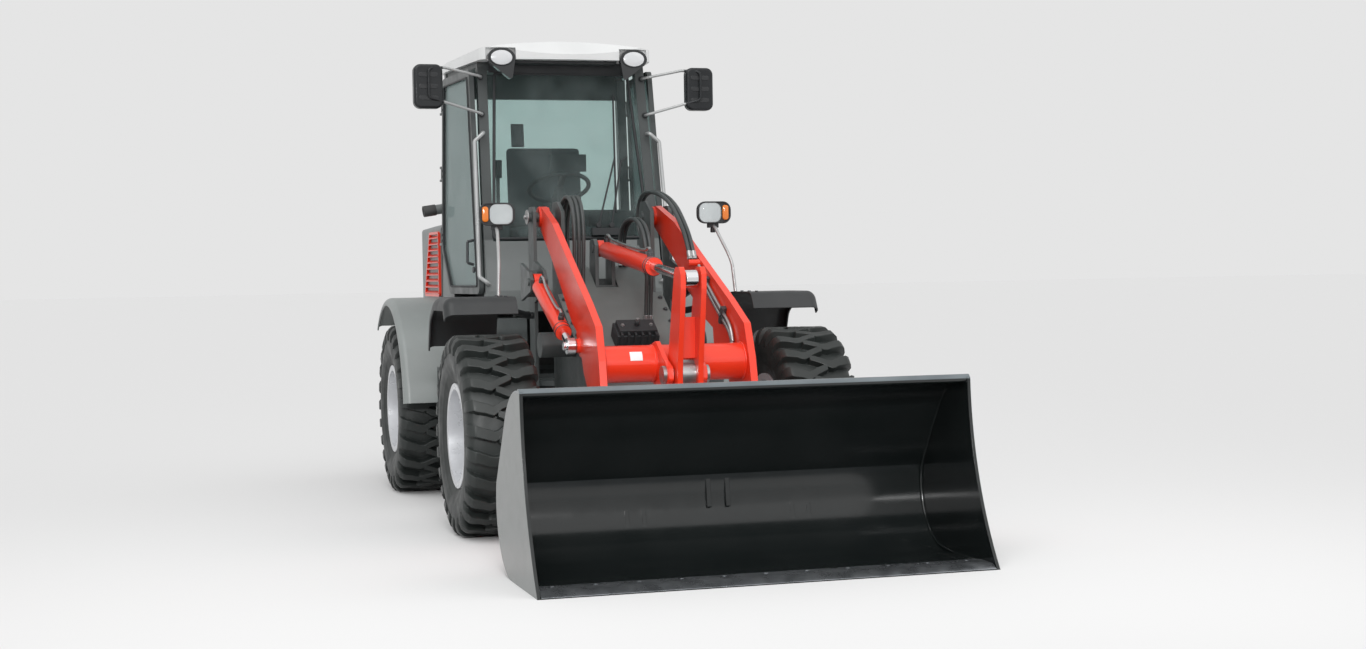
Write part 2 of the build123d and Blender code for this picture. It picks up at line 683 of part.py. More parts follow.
chassis_y = 280
with BuildPart() as rear_frame:
    plate(
        [(-790, 405), (-790, 700), (-2559, 700), (-2559, 562), (-1640, 562), (-1600, 600), (-1250, 600),
         (-1200, 405)],
        chassis_y, 20,
    )
    mirror(about=Plane.XZ)
    block((-810, -790), (-chassis_y - 20, chassis_y + 20), (405, 700))
    block((-2559, -2540), (-chassis_y - 20, chassis_y + 20), (562, 700))
    block((-1640, -1620), (-chassis_y - 1, chassis_y + 1), (605, 690))
    for z in (405, 645):
        with BuildSketch(Plane.XY.offset(z)) as fork:
            with BuildLine():
                Polyline(
                    (steer_x, 90), (-560, 250), (-795, chassis_y), (-795, -chassis_y), (-560, -250),
                    (steer_x, -90), close=True,
                )
            make_face()
            with Locations((steer_x, 0)):
                Circle(90)
        extrude(fork.sketch, amount=30)
    upright(steer_x, 0, 30, 395, 685)
    upright(steer_x, 0, 48, 675, 690)
    for z in (steer_z - 36, steer_z + 22):
        block((-795, steer_base[0] + 5), (steer_base[1] - 28, steer_base[1] + 28), (z, z + 14))
        upright(steer_base[0], steer_base[1], 28, z, z + 14)
    upright(steer_base[0], steer_base[1], 15, steer_z - 40, steer_z + 40)
    for y in (-chassis_y - 20, chassis_y):
        for x in (-1000, -1700):
            block((x - 60, x + 60), (y, y + 20), (699, cab_floor_z - 60))
            block((x - (115 if x < -1500 else 60), x + 60), (y - 40, y + 60), (cab_floor_z - 62, cab_floor_z - 40))
    # bulkhead behind the cab, with the hood's hinge pins on it
    block((-1814, -1806), (-560, 560), (cab_floor_z - 41, 1575))
    for y in (-hood_hinge_y, hood_hinge_y):
        block((-1814, -1800), (y - 14, y + 14), (1570, hood_hinge_z))
        cross_pin(hood_hinge_x, hood_hinge_z, 12, y - 14, y + 14)
        cross_pin(hood_hinge_x, hood_hinge_z, 8, y - 40, y + 40)
rear_frame.part.label = "rear_frame"
export_step(rear_frame.part, "parts/rear_frame.step")

with BuildPart() as engine_block:
    block((-2420, -1850), (-240, 240), (700.3, 1250))
    block((-2300, -1950), (-chassis_y - 20, chassis_y + 20), (700.3, 750))
engine_block.part.label = "engine_block"
export_step(engine_block.part, "parts/engine_block.step")

weight_front_x = -2440
weight_top_z = 900
with BuildPart() as counterweight:
    with BuildSketch(Plane.XY.offset(560)) as plan:
        with Locations(((weight_front_x + hood_rear_x) / 2, 0)):
            Rectangle(weight_front_x - hood_rear_x, 2 * hood_half)
        fillet(plan.vertices().group_by(Axis.X)[0], 120)
    extrude(plan.sketch, amount=weight_top_z - 560)
    fillet(counterweight.edges().filter_by(GeomType.LINE).group_by(Axis.Z)[-1].group_by(Axis.X)[0], 25)
    block((-2559 - seat_gap, -2430), (-chassis_y - 20.3, chassis_y + 20.3), (550, 700.3), mode=Mode.SUBTRACT)
    block((hood_rear_x - 40, tow_pin_x + 48), (-80, 80), (600, 700), mode=Mode.SUBTRACT)
    block((hood_rear_x - 40, tow_pin_x + 33), (-50, 50), (740, weight_top_z + 10), mode=Mode.SUBTRACT)
    upright(tow_pin_x, 0, tow_pin_radius, 550, 745, mode=Mode.SUBTRACT)
counterweight.part.label = "counterweight"
export_step(counterweight.part, "parts/counterweight.step")

with BuildPart() as steps:
    # side tank and two treads under each door
    for side in (-1, 1):
        y = sorted((side * 330, side * 590))
        block((-1060, -520), y, (560, 1025))
        y = sorted((side * 585, side * 800))
        block((-750, -480), y, (420, 440))
        block((-750, -480), y, (740, 760))
        for x in (-750, -492):
            block((x, x + 12), y, (420, 760))
        y = sorted((side * (chassis_y + 20 + seat_gap), side * 331))
        block((-1000, -820), y, (600, 690))
steps.part.label = "steps"
export_step(steps.part, "parts/steps.step")

rear_fender_radius = 650
with BuildPart() as rear_fenders:
    with BuildLine(Plane.XZ) as line:
        CenterArc((rear_axle_x, axle_z), rear_fender_radius, 132, -126)
    fender(line.line, 600, 380, 40, 32, 8)
    with BuildSketch(Plane.XZ.offset(-590 - seat_gap)) as flange:
        with BuildLine() as line:
            CenterArc((rear_axle_x, axle_z), rear_fender_radius, 8, 40)
        trace(line.line, 8)
    extrude(flange.sketch, amount=-20)
    mirror(about=Plane.XZ)
rear_fenders.part.label = "rear_fenders"
export_step(rear_fenders.part, "parts/rear_fenders.step")

# ---- cab ----

lean = tan(radians(pillar_lean))


def lean_x(x, z, foot=1174):
    # x of a leaning line through x at the foot
    return x - (z - foot) * lean


side_length = hypot(cab_front_x - cab_rear_x, cab_rear_half - cab_front_half)
side_cos = (cab_front_x - cab_rear_x) / side_length
side_sin = (cab_rear_half - cab_front_half) / side_length
side_tilt = 1.25                           # the cab's sides lean in by this many degrees
door_gap = 5
door_thickness = 28
door_top_z = cab_top_z - 40
door_outline = [(85, 1430), (85, door_top_z), (734, door_top_z), (996, 1162), (300, 1162)]
door_hinge_inset = 62                      # hinge axis from the cab's rear corner
hinge_out = 19                             # and outside its posts
hinge_heights = (1500, 1887, 2290)
hinge_pin_radius = 8


def cab_side(side, out):
    # plane of the cab's side, x forward along it and y up it; out is its distance outside the posts
    tilt = radians(side_tilt)
    outward = Vector(side_sin * cos(tilt), side * side_cos * cos(tilt), sin(tilt))
    origin = Vector(cab_rear_x, side * cab_rear_half, 1174) + outward * out
    normal = outward * (-side)
    plane = Plane(origin=origin, x_dir=(side_cos, -side * side_sin, 0), z_dir=normal)
    return plane


def hinge_bar(side, low, high, radius, mode=Mode.ADD):
    # round bar or bore on the door's hinge axis
    plane = cab_side(side, hinge_out)
    start, end = (plane.from_local_coords((door_hinge_inset, z - 1174, 0)) for z in (low, high))
    bar(start, end, radius, mode)


with BuildPart() as cab_frame:
    # floor, lower front panel, rear wall and six posts
    with BuildSketch(Plane.XY.offset(cab_floor_z - 40 + seat_gap)) as floor:
        with BuildLine():
            Polyline(
                (cab_front_x, -cab_front_half), (cab_rear_x, -cab_rear_half), (cab_rear_x, cab_rear_half),
                (cab_front_x, cab_front_half), close=True,
            )
        make_face()
    extrude(floor.sketch, amount=cab_floor_thickness)
    with BuildSketch(Plane.XZ.offset(cab_front_half - 8)) as front:
        with BuildLine():
            Polyline(
                (cab_front_x, cab_floor_z - 10), (cab_front_x, cab_floor_z + 80), (lean_x(cab_front_x, sill_z), sill_z),
                (lean_x(cab_front_x, sill_z) - 30, sill_z), (cab_front_x - 30, cab_floor_z + 80),
                (cab_front_x - 30, cab_floor_z - 10), close=True,
            )
        make_face()
    extrude(front.sketch, amount=-2 * (cab_front_half - 8))
    block((cab_rear_x, cab_rear_x + 30), (-cab_rear_half, cab_rear_half), (cab_floor_z, cab_floor_z + 80))
    block((cab_rear_x, cab_rear_x + 30), (-top_rear_half, top_rear_half), (cab_floor_z, rear_window_low))
    for side in (-1, 1):
        for x, half, top_x, top_half in (
            (cab_front_x, cab_front_half, lean_x(cab_front_x, cab_top_z), top_front_half),
            (cab_rear_x + pillar_size, cab_rear_half, cab_rear_x + pillar_size + 10, top_rear_half),
        ):
            with BuildSketch(Plane.XY.offset(cab_floor_z + 5)) as foot:
                with Locations((x - pillar_size / 2, side * (half - pillar_size / 2))):
                    Rectangle(pillar_size, pillar_size)
            with BuildSketch(Plane.XY.offset(cab_top_z)) as head:
                with Locations((top_x - pillar_size / 2, side * (top_half - pillar_size / 2))):
                    Rectangle(pillar_size, pillar_size)
            loft([foot.sketch.face(), head.sketch.face()])
    front_top = lean_x(cab_front_x, cab_top_z)
    block((front_top - 60, front_top + 5), (-top_front_half, top_front_half), (cab_top_z - 50, cab_top_z))
    block((cab_rear_x, cab_rear_x + 50), (-top_rear_half, top_rear_half), (rear_window_high, cab_top_z))
    for side in (-1, 1):
        with BuildSketch(Plane.XY.offset(cab_top_z - 30)) as rail:
            with BuildLine():
                Polyline(
                    (cab_rear_x, side * top_rear_half), (front_top, side * (top_front_half - 1)),
                    (front_top, side * (top_front_half - 49)), (cab_rear_x, side * (top_rear_half - pillar_size)),
                    close=True,
                )
            make_face()
        extrude(rail.sketch, amount=30)
        # sheet that closes the side below and behind the door
        with BuildSketch(cab_side(side, -2)) as corner_sheet:
            with BuildLine():
                Polyline((8, cab_floor_z - 1166), (296, cab_floor_z - 1166), (296, -20), (78, 252), (8, 252), close=True)
            make_face()
        extrude(corner_sheet.sketch, amount=side * -8)
        for height in hinge_heights:
            for low in (height - 46, height + 32):
                with BuildSketch(cab_side(side, -8)) as lug:
                    with Locations(((20 + door_hinge_inset) / 2, low + 7 - 1174)):
                        Rectangle(door_hinge_inset - 20, 14)
                extrude(lug.sketch, amount=-side * (8 + hinge_out + 12))
                hinge_bar(side, low, low + 14, 12)
            hinge_bar(side, height - 46, height + 46, hinge_pin_radius)
cab_frame.part.label = "cab_frame"
export_step(cab_frame.part, "parts/cab_frame.step")

with BuildPart() as cab_roof:
    # plan with a bowed front, crowned across and cut back at the front and rear
    with BuildSketch(Plane.XY.offset(cab_top_z + seat_gap)) as brim:
        with BuildLine():
            ThreePointArc((roof_corner_x, -500), (roof_front_x, 0), (roof_corner_x, 500))
            Polyline((roof_corner_x, 500), (roof_rear_x, 600), (roof_rear_x, -600), (roof_corner_x, -500))
        make_face()
        fillet(brim.vertices(), 70)
    extrude(brim.sketch, amount=roof_top_z - cab_top_z)
    with BuildSketch(Plane.YZ.offset(roof_rear_x - 10)) as crown:
        with BuildLine():
            ThreePointArc((-575, roof_top_z - 55), (0, roof_top_z), (575, roof_top_z - 55))
            Polyline(
                (575, roof_top_z - 55), (604, cab_top_z + 20), (604, cab_top_z), (-604, cab_top_z),
                (-604, cab_top_z + 20), (-575, roof_top_z - 55),
            )
        make_face()
    extrude(crown.sketch, amount=roof_front_x - roof_rear_x + 20, mode=Mode.INTERSECT)
    with BuildSketch(Plane.XZ.offset(-700)) as side_view:
        with BuildLine():
            Polyline(
                (roof_front_x, cab_top_z), (roof_front_x, cab_top_z + 30), (roof_front_x - 60, roof_top_z),
                (roof_rear_x + 70, roof_top_z), (roof_rear_x, cab_top_z + 40), (roof_rear_x, cab_top_z), close=True,
            )
        make_face()
    extrude(side_view.sketch, amount=1400, mode=Mode.INTERSECT)
    # pockets that the front lamps stand in
    for side in (-1, 1):
        block(
            (roof_corner_x - 8, roof_front_x), (side * lamp_y - 84, side * lamp_y + 84), (cab_top_z, lamp_z + 58),
            mode=Mode.SUBTRACT,
        )
cab_roof.part.label = "cab_roof"
export_step(cab_roof.part, "parts/cab_roof.step")

def post_inner(z):
    # inner face of the front posts at a height
    share = (z - cab_floor_z - 5) / (cab_top_z - cab_floor_z - 5)
    return cab_front_half - pillar_size - (cab_front_half - top_front_half) * share


with BuildPart() as windscreen:
    angle = radians(pillar_lean)
    screen_plane = Plane(
        origin=(lean_x(cab_front_x, sill_z) - 12, 0, sill_z), x_dir=(0, 1, 0), z_dir=(cos(angle), 0, sin(angle))
    )
    with BuildSketch(screen_plane) as pane:
        height = (cab_top_z - 50 - sill_z) / cos(angle) - 2
        low_half, high_half = post_inner(sill_z) - 0.4, post_inner(cab_top_z - 52) - 0.4
        with BuildLine():
            Polyline((-low_half, 1.6), (low_half, 1.6), (high_half, height), (-high_half, height), close=True)
        make_face()
    extrude(pane.sketch, amount=-glass_thickness)
windscreen.part.label = "windscreen"
export_step(windscreen.part, "parts/windscreen.step")

with BuildPart() as rear_window:
    block((cab_rear_x + 12, cab_rear_x + 18), (-500, 500), (rear_window_low + seat_gap, rear_window_high - seat_gap))
rear_window.part.label = "rear_window"
export_step(rear_window.part, "parts/rear_window.step")

with BuildPart() as seat:
    block((-1500, -1180), (-180, 180), (cab_floor_z + 10.6, 1461))
    block((-1560, -1120), (-250, 250), (1460, 1560))
    fillet(seat.edges().filter_by(Axis.Z).filter_by(lambda e: e.center().Z > 1500), 60)
    plate([(-1560, 1555), (-1440, 1555), (-1490, 2035), (-1590, 2035)], -225, 450)
    fillet(seat.edges().group_by(Axis.Z)[-1].filter_by(Axis.X), 90)
    plate([(-1590, 1900), (-1540, 1900), (-1560, 2187), (-1615, 2187)], -183, 76)
seat.part.label = "seat"
export_step(seat.part, "parts/seat.step")

with BuildPart() as console:
    block((-900, -830), (-110, 110), (cab_floor_z + 10.6, 1500))
    bar((-870, 0, 1480), (-1096, 0, 1776), 28)
    with Locations(Location((-1098, 0, 1778), (0, -25, 0))):
        Torus(175, 13)
        Box(350, 30, 14)
    # instrument head on the column, armrest consoles and the lever
    bar((-1078, 0, 1776), (-1046, 0, 1880), 16)
    block((-1066, -1030), (-60, 150), (1868, 1968))
    for y in ((-455, -300), (300, 455)):
        block((-1600, -1100), y, (cab_floor_z + 10.6, 1640))
    bar((-1300, -326, 1630), (-1292, -326, 1850), 11)
    bar((-1292, -326, 1845), (-1284, -326, 1950), 24)
console.part.label = "console"
export_step(console.part, "parts/console.step")

# ---- doors, hinged at their rear edge ----

for side, hand in ((-1, "right"), (1, "left")):
    with BuildPart() as door:
        with BuildSketch(cab_side(side, door_gap)) as frame:
            with BuildLine():
                Polyline(*[(x, z - 1174) for x, z in door_outline], close=True)
            make_face()
            fillet(frame.vertices(), 40)
            offset(amount=-42, mode=Mode.SUBTRACT)
        extrude(frame.sketch, amount=-side * door_thickness)
        for z in hinge_heights:
            with BuildSketch(cab_side(side, hinge_out - 7)) as strap:
                with Locations((door_hinge_inset + 18, z - 1174)):
                    Rectangle(36, 60)
            extrude(strap.sketch, amount=-side * 14)
            hinge_bar(side, z - 30, z + 30, 14)
            hinge_bar(side, z - 40, z + 40, hinge_pin_radius + pin_gap, mode=Mode.SUBTRACT)
    door.part.label = f"door_{hand}"
    export_step(door.part, f"parts/door_{hand}.step")

    with BuildPart() as door_glass:
        with BuildSketch(cab_side(side, door_gap + 11)) as pane:
            with BuildLine():
                Polyline(*[(x, z - 1174) for x, z in door_outline], close=True)
            make_face()
            fillet(pane.vertices(), 40)
            offset(amount=-42 - seat_gap, mode=Mode.REPLACE)
        extrude(pane.sketch, amount=-side * glass_thickness)
    door_glass.part.label = f"door_glass_{hand}"
    export_step(door_glass.part, f"parts/door_glass_{hand}.step")

# ---- lamps, mirrors, rails, exhaust ----

with BuildPart() as headlamps:
    with BuildSketch(Plane.YZ.offset(-20)) as lens:
        with Locations((596, 1588)):
            RectangleRounded(190, 120, 45)
    extrude(lens.sketch, amount=60)
    fillet(headlamps.edges().group_by(Axis.X)[0], 20)
    bent_tube([(250, 640, fender_top_z + 3.5), (230, 630, 1300), (60, 600, 1500), (10, 598, 1540)], 9, 60)
    mirror(about=Plane.XZ)
headlamps.part.label = "headlamps"
export_step(headlamps.part, "parts/headlamps.step")

with BuildPart() as mirrors:
    with BuildSketch(Plane.YZ.offset(-900)) as head:
        with Locations((800, 2340)):
            RectangleRounded(165, 250, 40)
    extrude(head.sketch, amount=55)
    fillet(mirrors.edges().group_by(Axis.X)[-1], 16)
    bent_tube([(-973.8, 480, 2407), (-935, 480, 2407), (-890, 700, 2450), (-838, 800, 2440), (-838, 800, 2340)], 8, 25)
    bent_tube([(-929.7, 485, 2190), (-890, 485, 2190), (-860, 700, 2250), (-838, 800, 2275), (-838, 800, 2341)], 8, 25)
    mirror(about=Plane.XZ)
mirrors.part.label = "mirrors"
export_step(mirrors.part, "parts/mirrors.step")

with BuildPart() as grab_rails:
    route = [
        (-906.9, 488, 2081), (-855, 488, 2081), (-845, 545, 2030), (-695, 560, 1260), (-690, 505, 1218),
        (-716.6, 505, 1218),
    ]
    bent_tube(route, 11, 20)
    mirror(about=Plane.XZ)
grab_rails.part.label = "grab_rails"
export_step(grab_rails.part, "parts/grab_rails.step")

with BuildPart() as lamps:
    # oval front lamps in drop-shaped housings under the roof's edge, and the rear lamps
    for side in (-1, 1):
        with BuildSketch(Plane.YZ.offset(roof_corner_x - 8 + seat_gap)) as housing:
            with Locations((side * lamp_y, lamp_z)):
                Ellipse(80, 56)
            with Locations((side * (lamp_y - 50), lamp_z - 105)):
                Circle(14)
            make_hull()
        extrude(housing.sketch, amount=44)
    for y in (-500, 500):
        block((-bucket_tip_x, hood_rear_x - seat_gap), (y - 40, y + 40), (700, 800))
lamps.part.label = "lamps"
export_step(lamps.part, "parts/lamps.step")

with BuildPart() as exhaust:
    bent_tube([(-1775, -310, 1060.3), (-1775, -310, 1450), (-1775, -440, 1640), (-1775, -520, 1690), (-1775, -690, 1665)], 30, 60)
exhaust.part.label = "exhaust"
export_step(exhaust.part, "parts/exhaust.step")

# ---- hood ----

def hood_form(inset):
    # the cover's form drawn in by a wall, as its side view, plan and front view together
    front, low = (hood_front_x + 1, hood_base_z - 1) if inset else (hood_front_x, hood_base_z)
    rear, high, half = hood_rear_x + inset, hood_top_z - inset, hood_half - inset
    with BuildPart() as form:
        with BuildSketch(Plane.XZ.offset(-half)) as side_view:
            with BuildLine():
                Polyline(
                    (front, low), (front, high), (rear + 120, high - 20), (rear + 40, high - 88), (rear, low), close=True
                )
            make_face()
        extrude(side_view.sketch, amount=2 * half)
        with BuildSketch(Plane.XY.offset(low)) as plan:
            with Locations(((front + rear) / 2, 0)):
                Rectangle(front - rear, 2 * half)
            fillet(plan.vertices().group_by(Axis.X)[0], 120 - inset)
        extrude(plan.sketch, amount=high - low, mode=Mode.INTERSECT)
        with BuildSketch(Plane.YZ.offset(rear)) as front_view:
            with Locations((0, (low + high) / 2)):
                Rectangle(2 * half, high - low)
            fillet(front_view.vertices().group_by(Axis.Y)[-1], 42 - inset)
        extrude(front_view.sketch, amount=front - rear, mode=Mode.INTERSECT)
    return form.part


hood_outside, hood_inside = hood_form(0), hood_form(hood_wall)

with BuildPart() as hood:
    add(hood_outside)
    add(hood_inside, mode=Mode.SUBTRACT)
    for y in (-hood_hinge_y, hood_hinge_y):
        for low in (y - 38, y + 16):
            block((hood_front_x - 30, hood_hinge_x), (low, low + 22), (hood_top_z - 1, hood_hinge_z + 4))
            cross_pin(hood_hinge_x, hood_hinge_z, 14, low, low + 22)
        cross_pin(hood_hinge_x, hood_hinge_z, 8 + pin_gap, y - 45, y + 45, mode=Mode.SUBTRACT)
hood.part.label = "hood"
export_step(hood.part, "parts/hood.step")

with BuildPart() as hood_grilles:
    # slanted louvres in a frame on each side of the hood
    louvre_front_x, louvre_low_z, louvre_high_z = hood_front_x - 16, 1142, hood_top_z - 46
    corners = [
        (louvre_front_x, louvre_low_z), (louvre_front_x, louvre_high_z), (hood_front_x - 360, louvre_high_z),
        (hood_front_x - 580, louvre_low_z),
    ]
    with BuildSketch(Plane.XZ.offset(-(hood_half + seat_gap))) as rim:
        with BuildLine():
            Polyline(*corners, close=True)
        make_face()
        fillet(rim.vertices(), 24)
        offset(amount=-16, mode=Mode.SUBTRACT)
    extrude(rim.sketch, amount=-15)
    for n in range(10):
        low = louvre_low_z + 20 + 38 * n
        share = (low - louvre_low_z) / (louvre_high_z - louvre_low_z)
        rear = hood_front_x - 580 + 220 * share + 12
        with BuildSketch(Plane.YZ.offset(rear)) as slat:
            with BuildLine():
                Polyline(
                    (hood_half + seat_gap, low + 12), (hood_half + seat_gap, low + 16), (hood_half + 18, low + 2),
                    (hood_half + 18, low - 3), close=True,
                )
            make_face()
        extrude(slat.sketch, amount=louvre_front_x - 8 - rear)
    mirror(about=Plane.XZ)
hood_grilles.part.label = "hood_grilles"
export_step(hood_grilles.part, "parts/hood_grilles.step")
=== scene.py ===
import math

import bmesh
import bpy
from mathutils import Matrix, Vector


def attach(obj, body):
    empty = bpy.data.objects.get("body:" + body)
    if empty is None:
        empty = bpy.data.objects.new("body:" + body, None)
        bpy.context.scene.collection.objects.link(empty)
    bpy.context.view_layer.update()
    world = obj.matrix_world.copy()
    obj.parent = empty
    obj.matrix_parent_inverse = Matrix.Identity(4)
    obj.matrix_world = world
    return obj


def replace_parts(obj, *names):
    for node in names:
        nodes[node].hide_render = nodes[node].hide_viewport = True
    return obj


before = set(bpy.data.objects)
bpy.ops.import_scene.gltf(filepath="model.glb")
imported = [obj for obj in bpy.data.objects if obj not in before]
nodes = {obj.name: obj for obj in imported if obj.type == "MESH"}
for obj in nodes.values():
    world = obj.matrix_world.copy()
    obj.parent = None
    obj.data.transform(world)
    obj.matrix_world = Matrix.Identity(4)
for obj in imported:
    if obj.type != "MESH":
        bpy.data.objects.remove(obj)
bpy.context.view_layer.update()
print("frame loaded:", len(nodes), "nodes")

# Helpers for objects and shader nodes


def addObject(name, data):
    made = bpy.data.objects.new(name, data)
    bpy.context.scene.collection.objects.link(made)
    return made


def newSurface(name):
    surface = bpy.data.materials.new(name)
    surface.use_nodes = True
    return surface, surface.node_tree, surface.node_tree.nodes["Principled BSDF"]


def setSockets(node, values):
    for name, value in values.items():
        node.inputs[name].default_value = value


def addMath(tree, operation, *sources):
    made = tree.nodes.new("ShaderNodeMath")
    made.operation = operation
    for source, socket in zip(sources, made.inputs):
        tree.links.new(source, socket)
    return made.outputs[0]


def addMix(tree, share, first, second):
    # two shaders, the second by the share given
    mix = tree.nodes.new("ShaderNodeMixShader")
    for source, socket in zip((share, first.outputs[0], second.outputs[0]), mix.inputs):
        tree.links.new(source, socket)
    return mix.outputs[0]


# Camera, lights and floor

cameraSetup = {
    "place": (10.084, -2.576, 1.268),
    "look": (-0.95824, 0.28469, -0.02697),
    "roll": -0.984,                # degrees
    "lens": 51.22,
    "sensor": 36.0,
}


def makeCamera(setup):
    camera = addObject("Camera", bpy.data.cameras.new("Camera"))
    look = Vector(setup["look"]).normalized()
    right = look.cross(Vector((0, 0, 1))).normalized()
    up = right.cross(look)
    roll = math.radians(setup["roll"])
    tiltedRight = right * math.cos(roll) + up * math.sin(roll)
    tiltedUp = up * math.cos(roll) - right * math.sin(roll)
    turn = Matrix((tiltedRight, tiltedUp, -look)).transposed().to_4x4()
    camera.matrix_world = Matrix.Translation(setup["place"]) @ turn
    camera.data.lens = setup["lens"]
    camera.data.sensor_width = setup["sensor"]
    camera.data.clip_end = 400
    bpy.context.scene.camera = camera


studio = {
    "paleTone": 0.783,             # sky as the camera, mirrors and glass see it
    "skyStrength": 0.62,           # soft light from all round
    "floorTone": 0.74,
    "floorReach": 150,
}
lamps = {
    "KeySun": {"kind": "SUN", "from": (5.0, -3.0, 7.0), "at": (0, 0, 0), "strength": 1.35, "angle": 50},
    "FrontPanel": {                # long low strip that the bucket mirrors
        "kind": "AREA", "from": (10.0, -1.5, 3.6), "at": (1.9, 0.0, 0.3), "strength": 42.0,
        "size": (7.0, 0.6), "spread": 38,
    },
    "FillSun": {"kind": "SUN", "from": (3.0, 7.0, 5.0), "at": (0, 0, 0), "strength": 0.5, "angle": 90},
}


def makeLamp(name, setup):
    data = bpy.data.lights.new(name, setup["kind"])
    data.energy = setup["strength"]
    if setup["kind"] == "SUN":
        data.angle = math.radians(setup["angle"])
    else:
        data.shape = "RECTANGLE"
        data.size, data.size_y = setup["size"]
        data.spread = math.radians(setup["spread"])
    lamp = addObject(name, data)
    lamp.location = setup["from"]
    lamp.rotation_mode = "QUATERNION"
    aim = Vector(setup["at"]) - Vector(setup["from"])
    lamp.rotation_quaternion = aim.to_track_quat("-Z", "Y")


def seenDirectly(tree):
    # 1 where the camera, a mirror or glass looks straight at the sky
    path = tree.nodes.new("ShaderNodeLightPath")
    first = addMath(tree, "MAXIMUM", path.outputs["Is Camera Ray"], path.outputs["Is Transmission Ray"])
    return addMath(tree, "MAXIMUM", first, path.outputs["Is Glossy Ray"])


def makeSky(setup):
    # white light on the machine, and a pale tone where the sky itself is seen
    world = bpy.data.worlds.new("Studio")
    bpy.context.scene.world = world
    world.use_nodes = True
    tree = world.node_tree
    tree.nodes.clear()
    lightSky = tree.nodes.new("ShaderNodeBackground")
    setSockets(lightSky, {"Color": (1, 1, 1, 1), "Strength": setup["skyStrength"]})
    shownSky = tree.nodes.new("ShaderNodeBackground")
    tone = setup["paleTone"]
    setSockets(shownSky, {"Color": (tone, tone, tone, 1)})
    out = tree.nodes.new("ShaderNodeOutputWorld")
    tree.links.new(addMix(tree, seenDirectly(tree), lightSky, shownSky), out.inputs["Surface"])


def makeFloor(setup):
    mesh = bpy.data.meshes.new("Floor")
    reach, tone = setup["floorReach"], setup["floorTone"]
    spots = [(-reach, -reach, 0), (reach, -reach, 0), (reach, reach, 0), (-reach, reach, 0)]
    mesh.from_pydata(spots, [], [(0, 1, 2, 3)])
    floor = addObject("Floor", mesh)
    surface, _, shader = newSurface("floorTone")
    setSockets(shader, {"Base Color": (tone, tone, tone, 1), "Roughness": 0.9, "Specular IOR Level": 0.0})
    mesh.materials.append(surface)


makeCamera(cameraSetup)
makeSky(studio)
makeFloor(studio)
for name, setup in lamps.items():
    makeLamp(name, setup)
bpy.context.scene.view_settings.view_transform = "Standard"
print("camera, lights and floor ready")

# Finishes

sprayed = {                        # what a finish has unless it says otherwise
    "driftScale": 3.0, "smearScale": 14.0, "roughSpread": 0.08, "metallic": 0.0, "coat": 0.0,
    "coatRoughness": 0.12, "peelScale": 260.0, "peel": 0.08, "peelHeight": 0.0004, "edge": 0.0025,
}


def addNoise(tree, scale, detail=4.0):
    place = tree.nodes.new("ShaderNodeTexCoord")
    grain = tree.nodes.new("ShaderNodeTexNoise")
    setSockets(grain, {"Scale": scale, "Detail": detail})
    tree.links.new(place.outputs["Object"], grain.inputs["Vector"])
    return grain.outputs["Fac"]


def addDrift(tree, look, scale):
    # colour that drifts between a finish's deep tone and its full one
    ramp = tree.nodes.new("ShaderNodeValToRGB")
    deep, full = ramp.color_ramp.elements
    deep.position, full.position = 0.35, 0.65
    deep.color, full.color = (*look["deepTone"], 1), (*look["tone"], 1)
    tree.links.new(addNoise(tree, scale), ramp.inputs["Fac"])
    return ramp.outputs["Color"]


def addRange(tree, source, low, high, lowOut, highOut):
    span = tree.nodes.new("ShaderNodeMapRange")
    setSockets(span, {"From Min": low, "From Max": high, "To Min": lowOut, "To Max": highOut})
    tree.links.new(source, span.inputs["Value"])
    return span.outputs["Result"]


def addBump(tree, shader, height, look):
    # fine relief over edges softened by the finish's own width, where it has one
    bump = tree.nodes.new("ShaderNodeBump")
    setSockets(bump, {"Strength": look["peel"], "Distance": look["peelHeight"]})
    tree.links.new(height, bump.inputs["Height"])
    if look["edge"]:
        soft = tree.nodes.new("ShaderNodeBevel")
        soft.samples = 3
        setSockets(soft, {"Radius": look["edge"]})
        tree.links.new(soft.outputs["Normal"], bump.inputs["Normal"])
    tree.links.new(bump.outputs["Normal"], shader.inputs["Normal"])


def makePaint(name, look):
    # slight tone drift, smeared gloss, orange peel, softened edges
    look = {**sprayed, **look}
    surface, tree, shader = newSurface(name)
    tree.links.new(addDrift(tree, look, look["driftScale"]), shader.inputs["Base Color"])
    rough, spread = look["roughness"], look["roughSpread"]
    smear = addNoise(tree, look["smearScale"], 6.0)
    gloss = addRange(tree, smear, 0.3, 0.7, rough - spread, rough + spread)
    tree.links.new(gloss, shader.inputs["Roughness"])
    setSockets(shader, {
        "Metallic": look["metallic"], "Coat Weight": look["coat"], "Coat Roughness": look["coatRoughness"],
    })
    addBump(tree, shader, addNoise(tree, look["peelScale"], 2.0), look)
    return surface


def makeGlass(name, look):
    # clear, with a mirror share that grows at a slant and a patchy haze
    surface, tree, shader = newSurface(name)
    setSockets(shader, {"Base Color": (*look["tone"], 1), "Roughness": 0.02, "IOR": 1.45})
    clear = tree.nodes.new("ShaderNodeBsdfTransparent")
    setSockets(clear, {"Color": (*look["through"], 1)})
    fresnel = tree.nodes.new("ShaderNodeFresnel")
    setSockets(fresnel, {"IOR": 1.5})
    haze = addRange(tree, addNoise(tree, 5.0), 0.4, 0.7, 0.0, look["haze"])
    share = addMath(tree, "ADD", fresnel.outputs[0], haze)
    out = tree.nodes["Material Output"]
    tree.links.new(addMix(tree, share, clear, shader), out.inputs["Surface"])
    return surface


